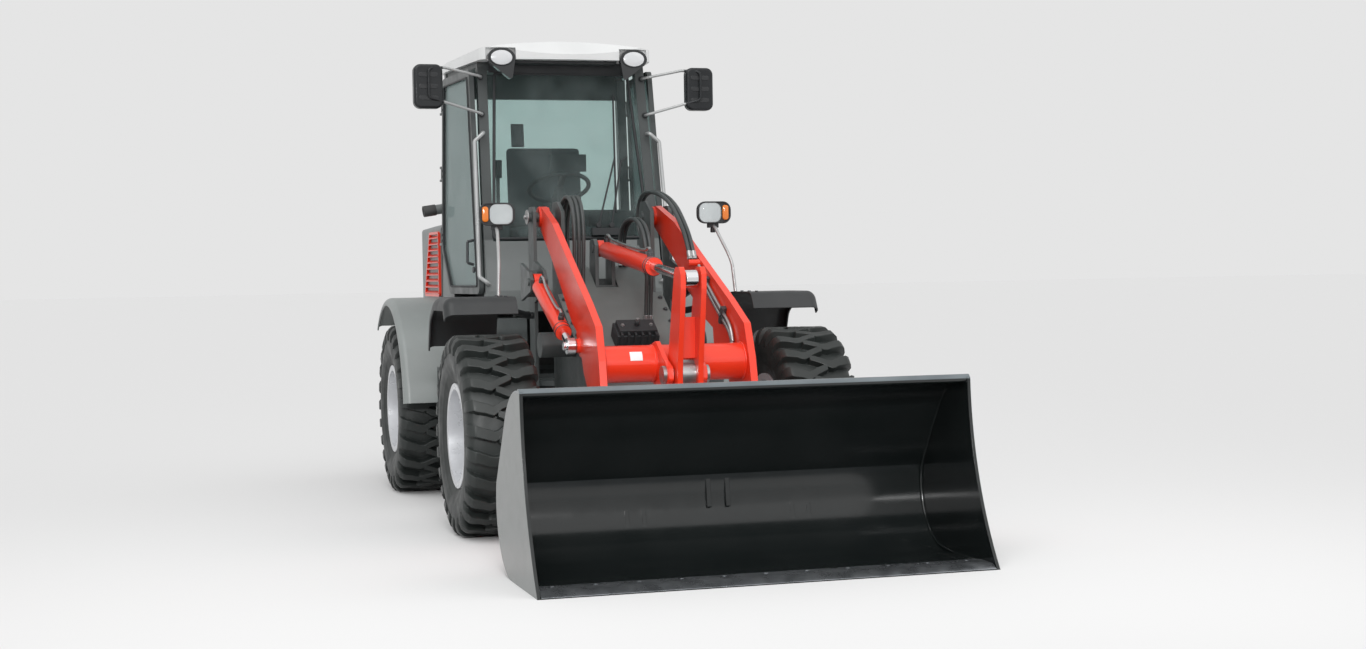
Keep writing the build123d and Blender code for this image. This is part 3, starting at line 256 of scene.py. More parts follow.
finishes = {
    "boomPaint": {
        "tone": (0.80, 0.040, 0.012), "deepTone": (0.74, 0.034, 0.010), "roughness": 0.32,
        "roughSpread": 0.025, "coat": 0.25, "peel": 0.03,
    },
    "framePaint": {"tone": (0.075, 0.085, 0.085), "deepTone": (0.058, 0.066, 0.066), "roughness": 0.42},
    "coverPaint": {"tone": (0.15, 0.165, 0.16), "deepTone": (0.12, 0.13, 0.128), "roughness": 0.4},
    "bodyPaint": {
        "tone": (0.165, 0.18, 0.178), "deepTone": (0.14, 0.153, 0.152), "roughness": 0.38,
        "roughSpread": 0.04,
    },
    "doorPaint": {"tone": (0.06, 0.068, 0.068), "deepTone": (0.048, 0.055, 0.055), "roughness": 0.36},
    "palePaint": {
        "tone": (0.235, 0.255, 0.25), "deepTone": (0.205, 0.222, 0.218), "roughness": 0.38,
        "roughSpread": 0.04,
    },
    "roofPaint": {
        "tone": (0.78, 0.79, 0.79), "deepTone": (0.72, 0.73, 0.73), "roughness": 0.35, "coat": 0.3,
    },
    "rimPaint": {
        "tone": (0.62, 0.63, 0.65), "deepTone": (0.55, 0.56, 0.58), "roughness": 0.32, "metallic": 0.3,
    },
    "bucketPaint": {
        "tone": (0.009, 0.011, 0.011), "deepTone": (0.006, 0.008, 0.008), "roughness": 0.17,
        "roughSpread": 0.03, "coat": 0.15, "edge": 0.003, "peel": 0.03,
    },
    "fenderPlastic": {
        "tone": (0.022, 0.024, 0.025), "deepTone": (0.016, 0.018, 0.019), "roughness": 0.5, "peel": 0.3,
    },
    "tyreRubber": {
        "tone": (0.016, 0.020, 0.019), "deepTone": (0.010, 0.013, 0.012), "roughness": 0.5,
        "roughSpread": 0.12, "peel": 0.4, "peelScale": 120.0, "edge": 0.004,
    },
    "rodChrome": {
        "tone": (0.8, 0.8, 0.81), "deepTone": (0.74, 0.74, 0.76), "roughness": 0.14, "metallic": 1.0,
        "peel": 0.02,
    },
    "pinSteel": {
        "tone": (0.42, 0.42, 0.42), "deepTone": (0.32, 0.32, 0.32), "roughness": 0.35, "metallic": 0.9,
    },
    "railPaint": {
        "tone": (0.45, 0.46, 0.46), "deepTone": (0.38, 0.39, 0.39), "roughness": 0.35, "metallic": 0.4,
    },
    "castIron": {
        "tone": (0.05, 0.05, 0.05), "deepTone": (0.035, 0.035, 0.035), "roughness": 0.6, "peel": 0.5,
    },
    "lampLens": {
        "tone": (0.75, 0.77, 0.78), "deepTone": (0.6, 0.62, 0.64), "roughness": 0.12, "metallic": 0.6,
    },
    "hoseSleeve": {
        "tone": (0.05, 0.056, 0.056), "deepTone": (0.035, 0.04, 0.04), "roughness": 0.42, "peel": 0.5,
        "peelScale": 700.0, "edge": 0.0,
    },
    "darkSteel": {
        "tone": (0.10, 0.105, 0.11), "deepTone": (0.06, 0.065, 0.07), "roughness": 0.4, "metallic": 0.7,
    },
    "edgeSteel": {
        "tone": (0.36, 0.38, 0.40), "deepTone": (0.22, 0.235, 0.25), "roughness": 0.3, "metallic": 0.9,
        "driftScale": 9.0,
    },
    "lampSilver": {
        "tone": (0.85, 0.86, 0.87), "deepTone": (0.7, 0.71, 0.72), "roughness": 0.12, "metallic": 1.0,
        "edge": 0.0,
    },
    "whiteLens": {
        "tone": (0.78, 0.79, 0.80), "deepTone": (0.66, 0.68, 0.70), "roughness": 0.1, "coat": 0.6,
    },
    "amberLens": {
        "tone": (0.85, 0.24, 0.02), "deepTone": (0.7, 0.18, 0.015), "roughness": 0.12, "coat": 0.6,
    },
    "redLens": {
        "tone": (0.5, 0.02, 0.012), "deepTone": (0.38, 0.014, 0.009), "roughness": 0.15, "coat": 0.6,
    },
    "rimGrey": {"tone": (0.12, 0.14, 0.15), "deepTone": (0.085, 0.10, 0.11), "roughness": 0.35},
    "bucketSide": {"tone": (0.085, 0.098, 0.092), "deepTone": (0.062, 0.072, 0.068), "roughness": 0.4},
    "mirrorFace": {
        "tone": (0.82, 0.83, 0.84), "deepTone": (0.78, 0.79, 0.80), "roughness": 0.03,
        "roughSpread": 0.01, "metallic": 1.0, "peel": 0.0,
    },
    "cabTrim": {
        "tone": (0.022, 0.024, 0.026), "deepTone": (0.016, 0.018, 0.02), "roughness": 0.55, "peel": 0.35,
    },
    "seatCloth": {
        "tone": (0.06, 0.07, 0.075), "deepTone": (0.04, 0.045, 0.05), "roughness": 0.85, "peel": 0.6,
        "peelScale": 500.0,
    },
}
glasses = {
    "cabGlass": {"tone": (0.55, 0.62, 0.62), "through": (0.80, 0.87, 0.86), "haze": 0.06},
    "clearLens": {"tone": (0.7, 0.72, 0.73), "through": (0.93, 0.95, 0.95), "haze": 0.03},
}
surfaces = {name: makePaint(name, look) for name, look in finishes.items()}
for name, look in glasses.items():
    surfaces[name] = makeGlass(name, look)

splitPaints = {
    # finish, finish past the edge, axis, edge, half width of the blend, the same on both sides
    "cabShell": ("bodyPaint", "doorPaint", "Z", 1.468, 0.004, False),
    "lampCases": ("redLens", "cabTrim", "X", -2.2, 0.004, False),
    "mirrorCases": ("railPaint", "cabTrim", "Y", 0.712, 0.004, True),
    "bucketShell": ("bucketPaint", "bucketSide", "Y", 0.9893, 0.0004, True),
    "bucketRim": ("bucketShell", "rimGrey", "Z", 0.7895, 0.001, False),
}


def splitPaint(name, base, other, axis, edge, blend, mirrored):
    # one casting in two paints: the other tone begins past an edge along one axis
    surface = surfaces[base].copy()
    surface.name = name
    tree = surface.node_tree
    shader = tree.nodes["Principled BSDF"]
    place = tree.nodes.new("ShaderNodeTexCoord")
    parts = tree.nodes.new("ShaderNodeSeparateXYZ")
    tree.links.new(place.outputs["Object"], parts.inputs[0])
    along = parts.outputs[axis]
    if mirrored:
        along = addMath(tree, "ABSOLUTE", along)
    mix = tree.nodes.new("ShaderNodeMix")
    mix.data_type = "RGBA"
    share = addRange(tree, along, edge - blend, edge + blend, 0.0, 1.0)
    tree.links.new(share, mix.inputs["Factor"])
    tree.links.new(shader.inputs["Base Color"].links[0].from_socket, mix.inputs[6])   # colour A
    tree.links.new(addDrift(tree, finishes[other], 4.0), mix.inputs[7])               # colour B
    tree.links.new(mix.outputs[2], shader.inputs["Base Color"])
    return surface


for name, split in splitPaints.items():
    surfaces[name] = splitPaint(name, *split)

corners = {                        # wheels: x and side
    "front_right": (0.713, -1), "front_left": (0.713, 1),
    "rear_right": (-1.427, -1), "rear_left": (-1.427, 1),
}
nodeFinish = {
    "arm_hose": "hoseSleeve", "tower_hoses": "hoseSleeve",
    "rear_frame": "framePaint", "rear_axle": "framePaint", "engine_block": "castIron",
    "counterweight": "framePaint", "steps": "framePaint", "rear_fenders": "palePaint",
    "cab_frame": "cabShell", "cab_roof": "roofPaint", "windscreen": "cabGlass", "rear_window": "cabGlass",
    "seat": "seatCloth", "console": "cabTrim", "mirrors": "mirrorCases", "grab_rails": "railPaint",
    "lamps": "lampCases", "exhaust": "bodyPaint", "front_frame": "framePaint", "front_axle": "framePaint",
    "front_cover": "coverPaint", "front_fenders": "fenderPlastic", "headlamps": "lampLens",
    "boom": "boomPaint",
    "bucket": "bucketRim", "bucket_pins": "pinSteel", "bellcrank_pin": "pinSteel", "bellcrank": "boomPaint",
    "link_pin": "pinSteel", "link": "boomPaint", "tilt_barrel": "boomPaint", "tilt_rod": "rodChrome",
    "lift_barrel_right": "boomPaint", "lift_barrel_left": "boomPaint", "lift_rod_right": "rodChrome",
    "lift_rod_left": "rodChrome", "steer_barrel": "framePaint", "steer_rod": "rodChrome",
    "door_right": "doorPaint", "door_left": "doorPaint", "door_glass_right": "cabGlass",
    "door_glass_left": "cabGlass", "hood": "bodyPaint", "hood_grilles": "boomPaint",
}
for corner in corners:
    nodeFinish[f"tyre_{corner}"] = "tyreRubber"
    nodeFinish[f"rim_{corner}"] = "rimPaint"
for name, node in nodes.items():
    node.data.materials.clear()
    node.data.materials.append(surfaces[nodeFinish[name]])
print("finishes set on", len(nodes), "nodes")

hands = {"right": -1, "left": 1}

# Mesh helpers


def newPiece(name, shape, finish, body, edge=0.0, crease=40):
    # an object from a bmesh, smooth up to the crease angle, riding on a body
    mesh = bpy.data.meshes.new(name)
    bmesh.ops.recalc_face_normals(shape, faces=shape.faces)
    shape.to_mesh(mesh)
    shape.free()
    mesh.shade_smooth()
    mesh.set_sharp_from_angle(angle=math.radians(crease))
    piece = addObject(name, mesh)
    mesh.materials.append(surfaces[finish])
    if edge:
        soften = piece.modifiers.new("Soften", "BEVEL")
        soften.width = edge
        soften.segments = 2
        soften.limit_method = "ANGLE"
        soften.angle_limit = math.radians(35)
    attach(piece, body)
    return piece


def addRings(shape, rings, closed=False):
    # skin through rings of the same number of points, capped unless it closes on itself
    rows = [[shape.verts.new(p) for p in ring] for ring in rings]
    count = len(rows[0])
    for low, high in zip(rows, rows[1:] + rows[:1] if closed else rows[1:]):
        for i in range(count):
            j = (i + 1) % count
            shape.faces.new((low[i], low[j], high[j], high[i]))
    if not closed:
        shape.faces.new(rows[0][::-1])
        shape.faces.new(rows[-1])


def newSkin(name, rings, finish, body, edge=0.0):
    # a piece with one skin
    shape = bmesh.new()
    addRings(shape, rings)
    return newPiece(name, shape, finish, body, edge)


def addFramedBlock(shape, place, along, up, low, high):
    # box in its own frame: along and up given, across worked out
    along, up = Vector(along).normalized(), Vector(up).normalized()
    across = up.cross(along).normalized()
    spots = [
        shape.verts.new(Vector(place) + along * a + across * b + up * c)
        for a in (low[0], high[0]) for b in (low[1], high[1]) for c in (low[2], high[2])
    ]
    for loop in ((0, 1, 3, 2), (4, 6, 7, 5), (0, 4, 5, 1), (2, 3, 7, 6), (0, 2, 6, 4), (1, 5, 7, 3)):
        shape.faces.new([spots[i] for i in loop])


def addBlock(shape, low, high):
    addFramedBlock(shape, (0, 0, 0), (1, 0, 0), (0, 0, 1), low, high)


def evenly(low, high, count):
    return [low + (high - low) * n / (count - 1) for n in range(count)]


def anglesRound(count):
    return [2 * math.pi * n / count for n in range(count)]


def sideways(along):
    # two directions square to a line
    along = Vector(along).normalized()
    first = along.cross(Vector((0, 0, 1)) if abs(along.z) < 0.9 else Vector((1, 0, 0))).normalized()
    return first, along.cross(first).normalized()


def circle(centre, along, radius, count):
    # points round a line
    across, up = sideways(along)
    return [
        centre + across * (radius * math.cos(a)) + up * (radius * math.sin(a)) for a in anglesRound(count)
    ]


def addRod(shape, start, end, radius, sides, chamfer=0.0):
    # round or many-sided bar with chamfered ends
    start, end = Vector(start), Vector(end)
    along = (end - start).normalized()
    spots = [(start, radius), (end, radius)]
    if chamfer:
        small = radius - chamfer
        spots = [
            (start, small), (start + along * chamfer, radius), (end - along * chamfer, radius), (end, small),
        ]
    addRings(shape, [circle(place, along, size, sides) for place, size in spots])


def addBolt(shape, place, out, size):
    # hexagon head on a washer, seen from outside
    place, out = Vector(place), Vector(out).normalized()
    seat = place + out * size * 0.22
    addRod(shape, place, seat, size * 1.25, 20)
    addRod(shape, seat, seat + out * size * 0.75, size, 6, size * 0.12)


def addBead(shape, centre, along, radius, thick, segments=40):
    # round bead, as a weld or a gland
    across, up = sideways(along)
    along = Vector(along).normalized()
    rings = []
    for a in anglesRound(segments):
        out = across * math.cos(a) + up * math.sin(a)
        rings.append([
            Vector(centre) + out * (radius + thick * math.cos(b)) + along * thick * math.sin(b)
            for b in anglesRound(8)
        ])
    addRings(shape, rings, closed=True)


def makePipe(name, points, radius, finish, body, closed=False, steps=8, facets=3):
    # tube on a smooth line
    curve = bpy.data.curves.new(name, "CURVE")
    curve.dimensions = "3D"
    line = curve.splines.new("NURBS")
    line.points.add(len(points) - 1)
    for n, place in enumerate(points):
        line.points[n].co = (*place, 1)
    line.order_u = 3
    line.use_endpoint_u = not closed
    line.use_cyclic_u = closed
    line.resolution_u = steps
    curve.bevel_depth = radius
    curve.bevel_resolution = facets
    curve.use_fill_caps = True
    piece = addObject(name, curve)
    curve.materials.append(surfaces[finish])
    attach(piece, body)
    return piece


# Tyres: a smooth carcass with two rows of long kinked lugs, staggered by half a step

tyreForm = {
    "fullRadius": 0.4897,
    "segments": 100,
    "lugs": 25,
    "carcass": [
        (0.149, 0.2365), (0.149, 0.256), (0.153, 0.262), (0.164, 0.285), (0.171, 0.305), (0.1735, 0.309),
        (0.1735, 0.316), (0.1795, 0.335), (0.1825, 0.355), (0.1815, 0.385), (0.176, 0.412), (0.166, 0.434),
        (0.148, 0.446), (0.10, 0.452), (0.05, 0.454),
    ],
    # along each lug: y and radius of its top, y and radius of its foot, shift round the tyre, width
    "lug": [
        (0.1835, 0.402, 0.172, 0.402, 0.012, 0.054), (0.1845, 0.440, 0.166, 0.430, 0.006, 0.056),
        (0.174, 0.470, 0.156, 0.440, 0.001, 0.056), (0.154, 0.4885, 0.148, 0.444, -0.004, 0.055),
        (0.140, 0.4897, 0.138, 0.445, -0.008, 0.054), (0.100, 0.4897, 0.100, 0.450, -0.019, 0.050),
        (0.078, 0.4897, 0.078, 0.450, -0.028, 0.050), (0.060, 0.4897, 0.060, 0.450, -0.032, 0.048),
        (0.044, 0.4897, 0.044, 0.450, -0.026, 0.044), (0.020, 0.4897, 0.020, 0.450, -0.008, 0.040),
        (-0.014, 0.4897, -0.014, 0.450, 0.006, 0.038), (-0.040, 0.4897, -0.044, 0.450, 0.014, 0.030),
    ],
    "flank": 0.004,                # how far a lug's foot spreads on each side
    "wave": 0.0018,                # slight waver along it
}


def roundTyre(y, radius, shift):
    # point on a tyre at a shift round it, counted where the tread runs at full radius
    turn = shift / tyreForm["fullRadius"]
    return Vector((radius * math.cos(turn), y, radius * math.sin(turn)))


def makeTyreMesh(form):
    shape = bmesh.new()
    half, flank = form["carcass"], form["flank"]
    profile = half + [(-y, r) for y, r in reversed(half)]
    rings = [
        [Vector((r * math.cos(a), y, r * math.sin(a))) for y, r in profile]
        for a in anglesRound(form["segments"])
    ]
    addRings(shape, rings, closed=True)
    step = 2 * math.pi / form["lugs"]
    for side in (1, -1):
        for n in range(form["lugs"]):
            turn = Matrix.Rotation(-(n + (0.5 if side < 0 else 0.0)) * step, 4, "Y")
            rings = []
            for k, (topY, topR, footY, footR, shift, width) in enumerate(form["lug"]):
                wave = form["wave"] * math.sin(2.3 * k + n)
                near, far = shift + wave - width / 2, shift + wave + width / 2
                ring = (
                    roundTyre(side * footY, footR, near - flank), roundTyre(side * topY, topR, near),
                    roundTyre(side * topY, topR, far), roundTyre(side * footY, footR, far + flank),
                )
                rings.append([turn @ p for p in ring])
            addRings(shape, rings)
    return shape


wheelSetup = {
    "out": 0.795, "height": 0.49, "nuts": 8, "nutRing": 0.152, "nutSize": 0.014, "discFace": 0.0302,
    "valve": ((0.19, 0.045, 0.0), (0.196, 0.085, 0.01)), "valveRadius": 0.004,
}


def dressWheel(corner, x, side, setup):
    hub = Vector((x, side * setup["out"], setup["height"]))
    tyre = newPiece(f"tread_{corner}", makeTyreMesh(tyreForm), "tyreRubber", f"wheel_{corner}", 0.0028)
    tyre.location = hub
    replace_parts(tyre, f"tyre_{corner}")
    shape = bmesh.new()
    ring = setup["nutRing"]
    for n in range(setup["nuts"]):
        a = 2 * math.pi * (n + 0.5) / setup["nuts"]
        spot = hub + Vector((ring * math.cos(a), side * setup["discFace"], ring * math.sin(a)))
        addBolt(shape, spot, (0, side, 0), setup["nutSize"])
    start, end = (hub + Vector((x, side * y, z)) for x, y, z in setup["valve"])
    addRod(shape, start, end, setup["valveRadius"], 10)
    newPiece(f"nuts_{corner}", shape, "pinSteel", f"wheel_{corner}")


for corner, (x, side) in corners.items():
    dressWheel(corner, x, side, wheelSetup)
print("tyres and wheel nuts made")

# Hoses, side by side in twos and a three

hoseSetup = {"diameter": 0.022, "fittingRadius": 0.0135, "fittingLength": 0.05}
hoseRoutes = {
    "armHose": {
        "body": "boom", "node": "arm_hose", "rows": (0.2815, 0.3045), "length": 1.43,
        "points": [
            (-0.220, 1.434), (-0.335, 1.462), (-0.395, 1.548), (-0.375, 1.640), (-0.285, 1.700),
            (-0.160, 1.712), (0.060, 1.690), (0.280, 1.629), (0.435, 1.533), (0.560, 1.430),
            (0.617, 1.330),
        ],
    },
    "leftLoop": {
        "body": "front_frame", "node": "tower_hoses", "rows": (0.118, 0.142), "length": 1.15,
        "points": [
            (-0.155, 1.3056), (-0.172, 1.400), (-0.145, 1.490), (-0.050, 1.545), (0.089, 1.560),
            (0.250, 1.530), (0.345, 1.450), (0.378, 1.340), (0.374, 1.230), (0.354, 1.113),
            (0.340, 0.998),
        ],
    },
    "rightLoop": {
        "body": "front_frame", "node": "tower_hoses", "rows": (-0.176, -0.200, -0.224), "length": 1.20,
        "points": [
            (-0.140, 1.2963), (-0.158, 1.430), (-0.150, 1.560), (-0.080, 1.645), (0.020, 1.680),
            (0.125, 1.665), (0.195, 1.590), (0.212, 1.480), (0.204, 1.375), (0.192, 1.282),
            (0.184, 1.190), (0.178, 1.0988),
        ],
    },
}


def makeHose(name, route, row):
    line = [(x, row, z) for x, z in route["points"]]
    diameter = hoseSetup["diameter"]
    piece = makePipe(name, line, diameter / 2, "hoseSleeve", route["body"], steps=10, facets=4)
    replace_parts(piece, route["node"])


def makeFittings(name, route):
    # swaged ends with a hexagon nut, two on every hose
    shape = bmesh.new()
    points = route["points"]
    wide, reach = hoseSetup["fittingRadius"], hoseSetup["fittingLength"]
    for row in route["rows"]:
        for tip, inner in ((points[0], points[1]), (points[-1], points[-2])):
            start = Vector((tip[0], row, tip[1]))
            along = (Vector((inner[0], row, inner[1])) - start).normalized()
            addRod(shape, start + along * 0.002, start + along * 0.016, wide * 1.12, 6, 0.001)
            addRod(shape, start + along * 0.016, start + along * reach, wide, 20, 0.0015)
    newPiece(name, shape, "pinSteel", route["body"])


for name, route in hoseRoutes.items():
    for n, row in enumerate(route["rows"]):
        makeHose(f"{name}_{n + 1}", route, row)
    makeFittings(f"{name}Fittings", route)
print("hoses laid")

# Places on the machine's own slopes

coverPlane = {"rearX": -0.237, "rearZ": 1.340, "fall": 0.62105, "sheet": 0.008}
coverNormal = Vector((coverPlane["fall"], 0, 1)).normalized()
cabWall = {"rear": (-1.720, 0.590, 1.174), "heading": (0.99767, 0.06823), "lean": 1.25}   # lean in degrees
screenPlane = {"x": -0.711, "z": 1.174, "rake": 0.21438, "glass": 0.012}
armPlane = {"rearX": -0.117, "out": 0.335, "splay": 0.03492}


def alongCover(x, y, out=0.0):
    # point on the sloping cover, out along its normal
    drop = (x - coverPlane["rearX"]) * coverPlane["fall"]
    return Vector((x, y, coverPlane["rearZ"] - drop + coverPlane["sheet"])) + coverNormal * out


def cabSide(side, u, height, out):
    # point on the cab's leaning side: u forward from its rear corner, out away from it
    x, y, z = cabWall["rear"]
    forward, inward = cabWall["heading"]
    lean = math.radians(cabWall["lean"])
    ahead = Vector((forward, -side * inward, 0))
    outward = Vector((inward * math.cos(lean), side * forward * math.cos(lean), math.sin(lean)))
    up = ahead.cross(outward) * side
    return Vector((x, side * y, z)) + ahead * u + outward * out + up * (height - z)


def screenX(z):
    # front face of the windscreen at a height
    return screenPlane["x"] - (z - screenPlane["z"]) * screenPlane["rake"] - screenPlane["glass"]


def armOut(x):
    # outer face of a boom arm
    return armPlane["out"] + (x - armPlane["rearX"]) * armPlane["splay"]


# Sloping cover: bolts down both edges and the valve box

coverSetup = {"boltRows": (-0.262, 0.262), "first": 0.11, "last": 0.69, "bolts": 7, "boltSize": 0.0105}
valveSetup = {
    "x": 0.463, "low": -0.09, "high": 0.13, "length": 0.13, "height": 0.105, "ribs": 6, "gap": 0.0005,
}


def makeCoverBolts(setup):
    shape = bmesh.new()
    for y in setup["boltRows"]:
        for x in evenly(setup["first"], setup["last"], setup["bolts"]):
            addBolt(shape, alongCover(x, y, 0.0005), coverNormal, setup["boltSize"])
    newPiece("coverBolts", shape, "darkSteel", "front_frame")


def makeValveBox(setup):
    # body, smaller lid, cooling ribs down the front and a knob between two screws
    down = Vector((1, 0, -coverPlane["fall"])).normalized()
    place = alongCover(setup["x"], (setup["low"] + setup["high"]) / 2)
    half, reach, tall = (setup["high"] - setup["low"]) / 2, setup["length"] / 2, setup["height"]
    lid = tall * 0.75
    blocks = [
        ((-reach, -half, setup["gap"]), (reach, half, lid)),
        ((-reach * 0.8, -half * 0.9, lid), (reach * 0.8, half * 0.9, tall)),
    ]
    for b in evenly(0.02 - half, half - 0.02, setup["ribs"]):
        blocks.append(((reach * 0.7, b - 0.006, 0.004), (reach + 0.012, b + 0.006, tall * 0.92)))
    shape = bmesh.new()
    for low, high in blocks:
        addFramedBlock(shape, place, down, coverNormal, low, high)
    top = place + coverNormal * tall
    knob = top + coverNormal * 0.022
    addRod(shape, top, knob, 0.013, 20, 0.003)
    newPiece("valveBox", shape, "cabTrim", "front_frame", 0.004)
    shape = bmesh.new()
    for b in (0.035 - half, half - 0.035):
        addBolt(shape, top + Vector((0, b, 0)), coverNormal, 0.008)
    addRod(shape, knob, top + coverNormal * 0.04, 0.009, 6, 0.001)
    newPiece("valveScrews", shape, "pinSteel", "front_frame")


makeCoverBolts(coverSetup)
makeValveBox(valveSetup)
print("cover dressed")

# Boom: welds, pipes, pin caps and the plain plate on the cross tube

boomSetup = {
    "tube": (1.213, 0.838, 0.0875), "collars": (0.066, 0.1), "weld": 0.0055,
    "pivot": (-0.117, 1.575), "bucketPin": (1.723, 0.288), "liftEye": (0.880, 0.918),
    "bossWelds": {"pivot": 0.0535, "bucketPin": 0.0595, "liftEye": 0.0355},
    "pipes": ((0.655, 1.300), (0.72, 1.245), (0.90, 1.125), (1.06, 1.035), (1.12, 0.985), (1.135, 0.93)),
    "pipe": 0.0095, "pipeDrops": (0.0, -0.034), "clips": ((0.76, 1.219), (1.0, 1.072)),
    "armSheet": 0.035, "pivotFace": 0.4005, "plate": (-0.225, -0.165),
}


def makeBoomWelds(setup):
    shape = bmesh.new()
    x, z, radius = setup["tube"]
    for side in (-1, 1):
        addBead(shape, (x, side * (armOut(x) - 0.0365), z), (0, 1, 0), radius, setup["weld"], 56)
        for y in setup["collars"]:
            addBead(shape, (x, side * y, z), (0, 1, 0), radius - 0.001, setup["weld"] * 0.8, 56)
        for spot, size in setup["bossWelds"].items():
            bossX, bossZ = setup[spot]
            addBead(shape, (bossX, side * (armOut(bossX) + 0.001), bossZ), (0, 1, 0), size, 0.004)
    newPiece("boomWelds", shape, "boomPaint", "boom")


def makeBoomPipes(setup):
    # two steel pipes down the inside of the left arm with their clips
    for n, drop in enumerate(setup["pipeDrops"]):
        points = [(x, armOut(x) - setup["armSheet"] - 0.012, z + drop) for x, z in setup["pipes"]]
        makePipe(f"boomPipe_{n + 1}", points, setup["pipe"], "pinSteel", "boom")
    shape = bmesh.new()
    inward, across = (0, -1, 0), (0.86, 0.03, -0.5)
    for x, z in setup["clips"]:
        place = Vector((x, armOut(x) - 0.0355, z - 0.018))
        addFramedBlock(shape, place, across, inward, (-0.012, -0.045, 0), (0.012, 0.045, 0.026))
        addBolt(shape, place + Vector((0, -0.026, 0)), inward, 0.008)
    newPiece("pipeClips", shape, "darkSteel", "boom", 0.002)


def makePinCaps(setup):
    # bolted caps on the pins that the boom turns on, plain ones on its lift eyes
    pivotCaps, eyeCaps = bmesh.new(), bmesh.new()
    x, z = setup["pivot"]
    eyeX, eyeZ = setup["liftEye"]
    for side in (-1, 1):
        face = Vector((x, side * setup["pivotFace"], z))
        front = face + Vector((0, side * 0.008, 0))
        addRod(pivotCaps, face, front, 0.04, 32, 0.002)
        addBolt(pivotCaps, front, (0, side, 0), 0.013)
        face = Vector((eyeX, side * armOut(eyeX) + side * 0.001, eyeZ))
        addRod(eyeCaps, face, face + Vector((0, side * 0.003, 0)), 0.028, 32, 0.001)
    newPiece("boomPivotCaps", pivotCaps, "pinSteel", "front_frame")
    newPiece("liftEyeCaps", eyeCaps, "pinSteel", "boom")


def makeTubePlate(setup):
    # plain pale plate, curved with the tube
    x, z, radius = setup["tube"]
    left, right = setup["plate"]
    inner, outer = radius + 0.0004, radius + 0.0016
    rings = []
    for n in range(7):
        a = math.radians(12 + 5 * n)
        rings.append([
            Vector((x + r * math.cos(a), y, z + r * math.sin(a)))
            for r, y in ((inner, left), (inner, right), (outer, right), (outer, left))
        ])
    newSkin("tubePlate", rings, "roofPaint", "boom")


makeBoomWelds(boomSetup)
makeBoomPipes(boomSetup)
makePinCaps(boomSetup)
makeTubePlate(boomSetup)
print("boom dressed")

# Cylinders: glands, ports and the pipe along each barrel

liftCylinder = {"base": (0.150, 0.414, 1.230), "to": (0.880, 0.414, 0.918), "length": 0.640, "radius": 0.040}
tiltCylinder = {"base": (-0.094, 0.0, 1.402), "to": (1.541, 0.0, 1.235), "length": 1.035, "radius": 0.045}


def dressCylinder(name, body, side, setup):
    base, to = (Vector((x, side * y, z)) for x, y, z in (setup["base"], setup["to"]))
    along = (to - base).normalized()
    up = along.cross(Vector((0, 1, 0))).normalized()
    radius, length = setup["radius"], setup["length"]
    near, far = 0.10, length - 0.075       # ports
    shape = bmesh.new()
    for spot in (length - 0.045, length - 0.006):
        addBead(shape, base + along * spot, along, radius, 0.003)
    for spot in (near, far):
        port = base + along * spot + up * (radius - 0.004)
        addRod(shape, port, port + up * 0.024, 0.015, 24, 0.002)
        addRod(shape, port + up * 0.024, port + up * 0.036, 0.013, 6, 0.001)
    newPiece(f"{name}Glands", shape, "darkSteel", body)
    low, high = radius + 0.014, radius + 0.032
    line = (
        (near, high), (near + 0.03, high + 0.012), (near + 0.09, low), (far - 0.09, low),
        (far - 0.03, high + 0.012), (far, high),
    )
    makePipe(f"{name}Pipe", [base + along * a + up * b for a, b in line], 0.0075, "pinSteel", body)


dressCylinder("tilt", "tilt_barrel", 1, tiltCylinder)
for hand, side in hands.items():
    dressCylinder(f"lift{hand.capitalize()}", f"lift_barrel_{hand}", side, liftCylinder)
print("cylinders dressed")

# Lamps

headlampSetup = {
    "y": 0.596, "z": 1.588, "width": 0.190, "height": 0.120, "corner": 0.045, "front": 0.0395,
    "lensIn": 0.022, "lensWidth": 0.74,           # leaves room for the amber lens on the outside
    "amberOut": 0.064, "amber": (0.034, 0.082, 0.014),
    "stalk": (
        (0.250, 0.640, 1.1605), (0.236, 0.634, 1.262), (0.226, 0.629, 1.33), (0.075, 0.603, 1.475),
        (0.045, 0.600, 1.505), (0.010, 0.598, 1.512), (0.006, 0.598, 1.535),
    ),
}
roofLampSetup = {"y": 0.388, "z": 2.503, "width": 0.136, "height": 0.092, "front": -0.8015}


def lampRing(x, y, z, width, height, corner):
    # rounded oblong across the machine
    points = []
    steps = 6                      # to a corner
    for n, (a, b) in enumerate(((1, 1), (-1, 1), (-1, -1), (1, -1))):
        for m in range(steps + 1):
            angle = math.radians(90 * (n + m / steps))
            points.append(Vector((
                x, y + a * (width / 2 - corner) + corner * math.cos(angle),
                z + b * (height / 2 - corner) + corner * math.sin(angle),
            )))
    return points


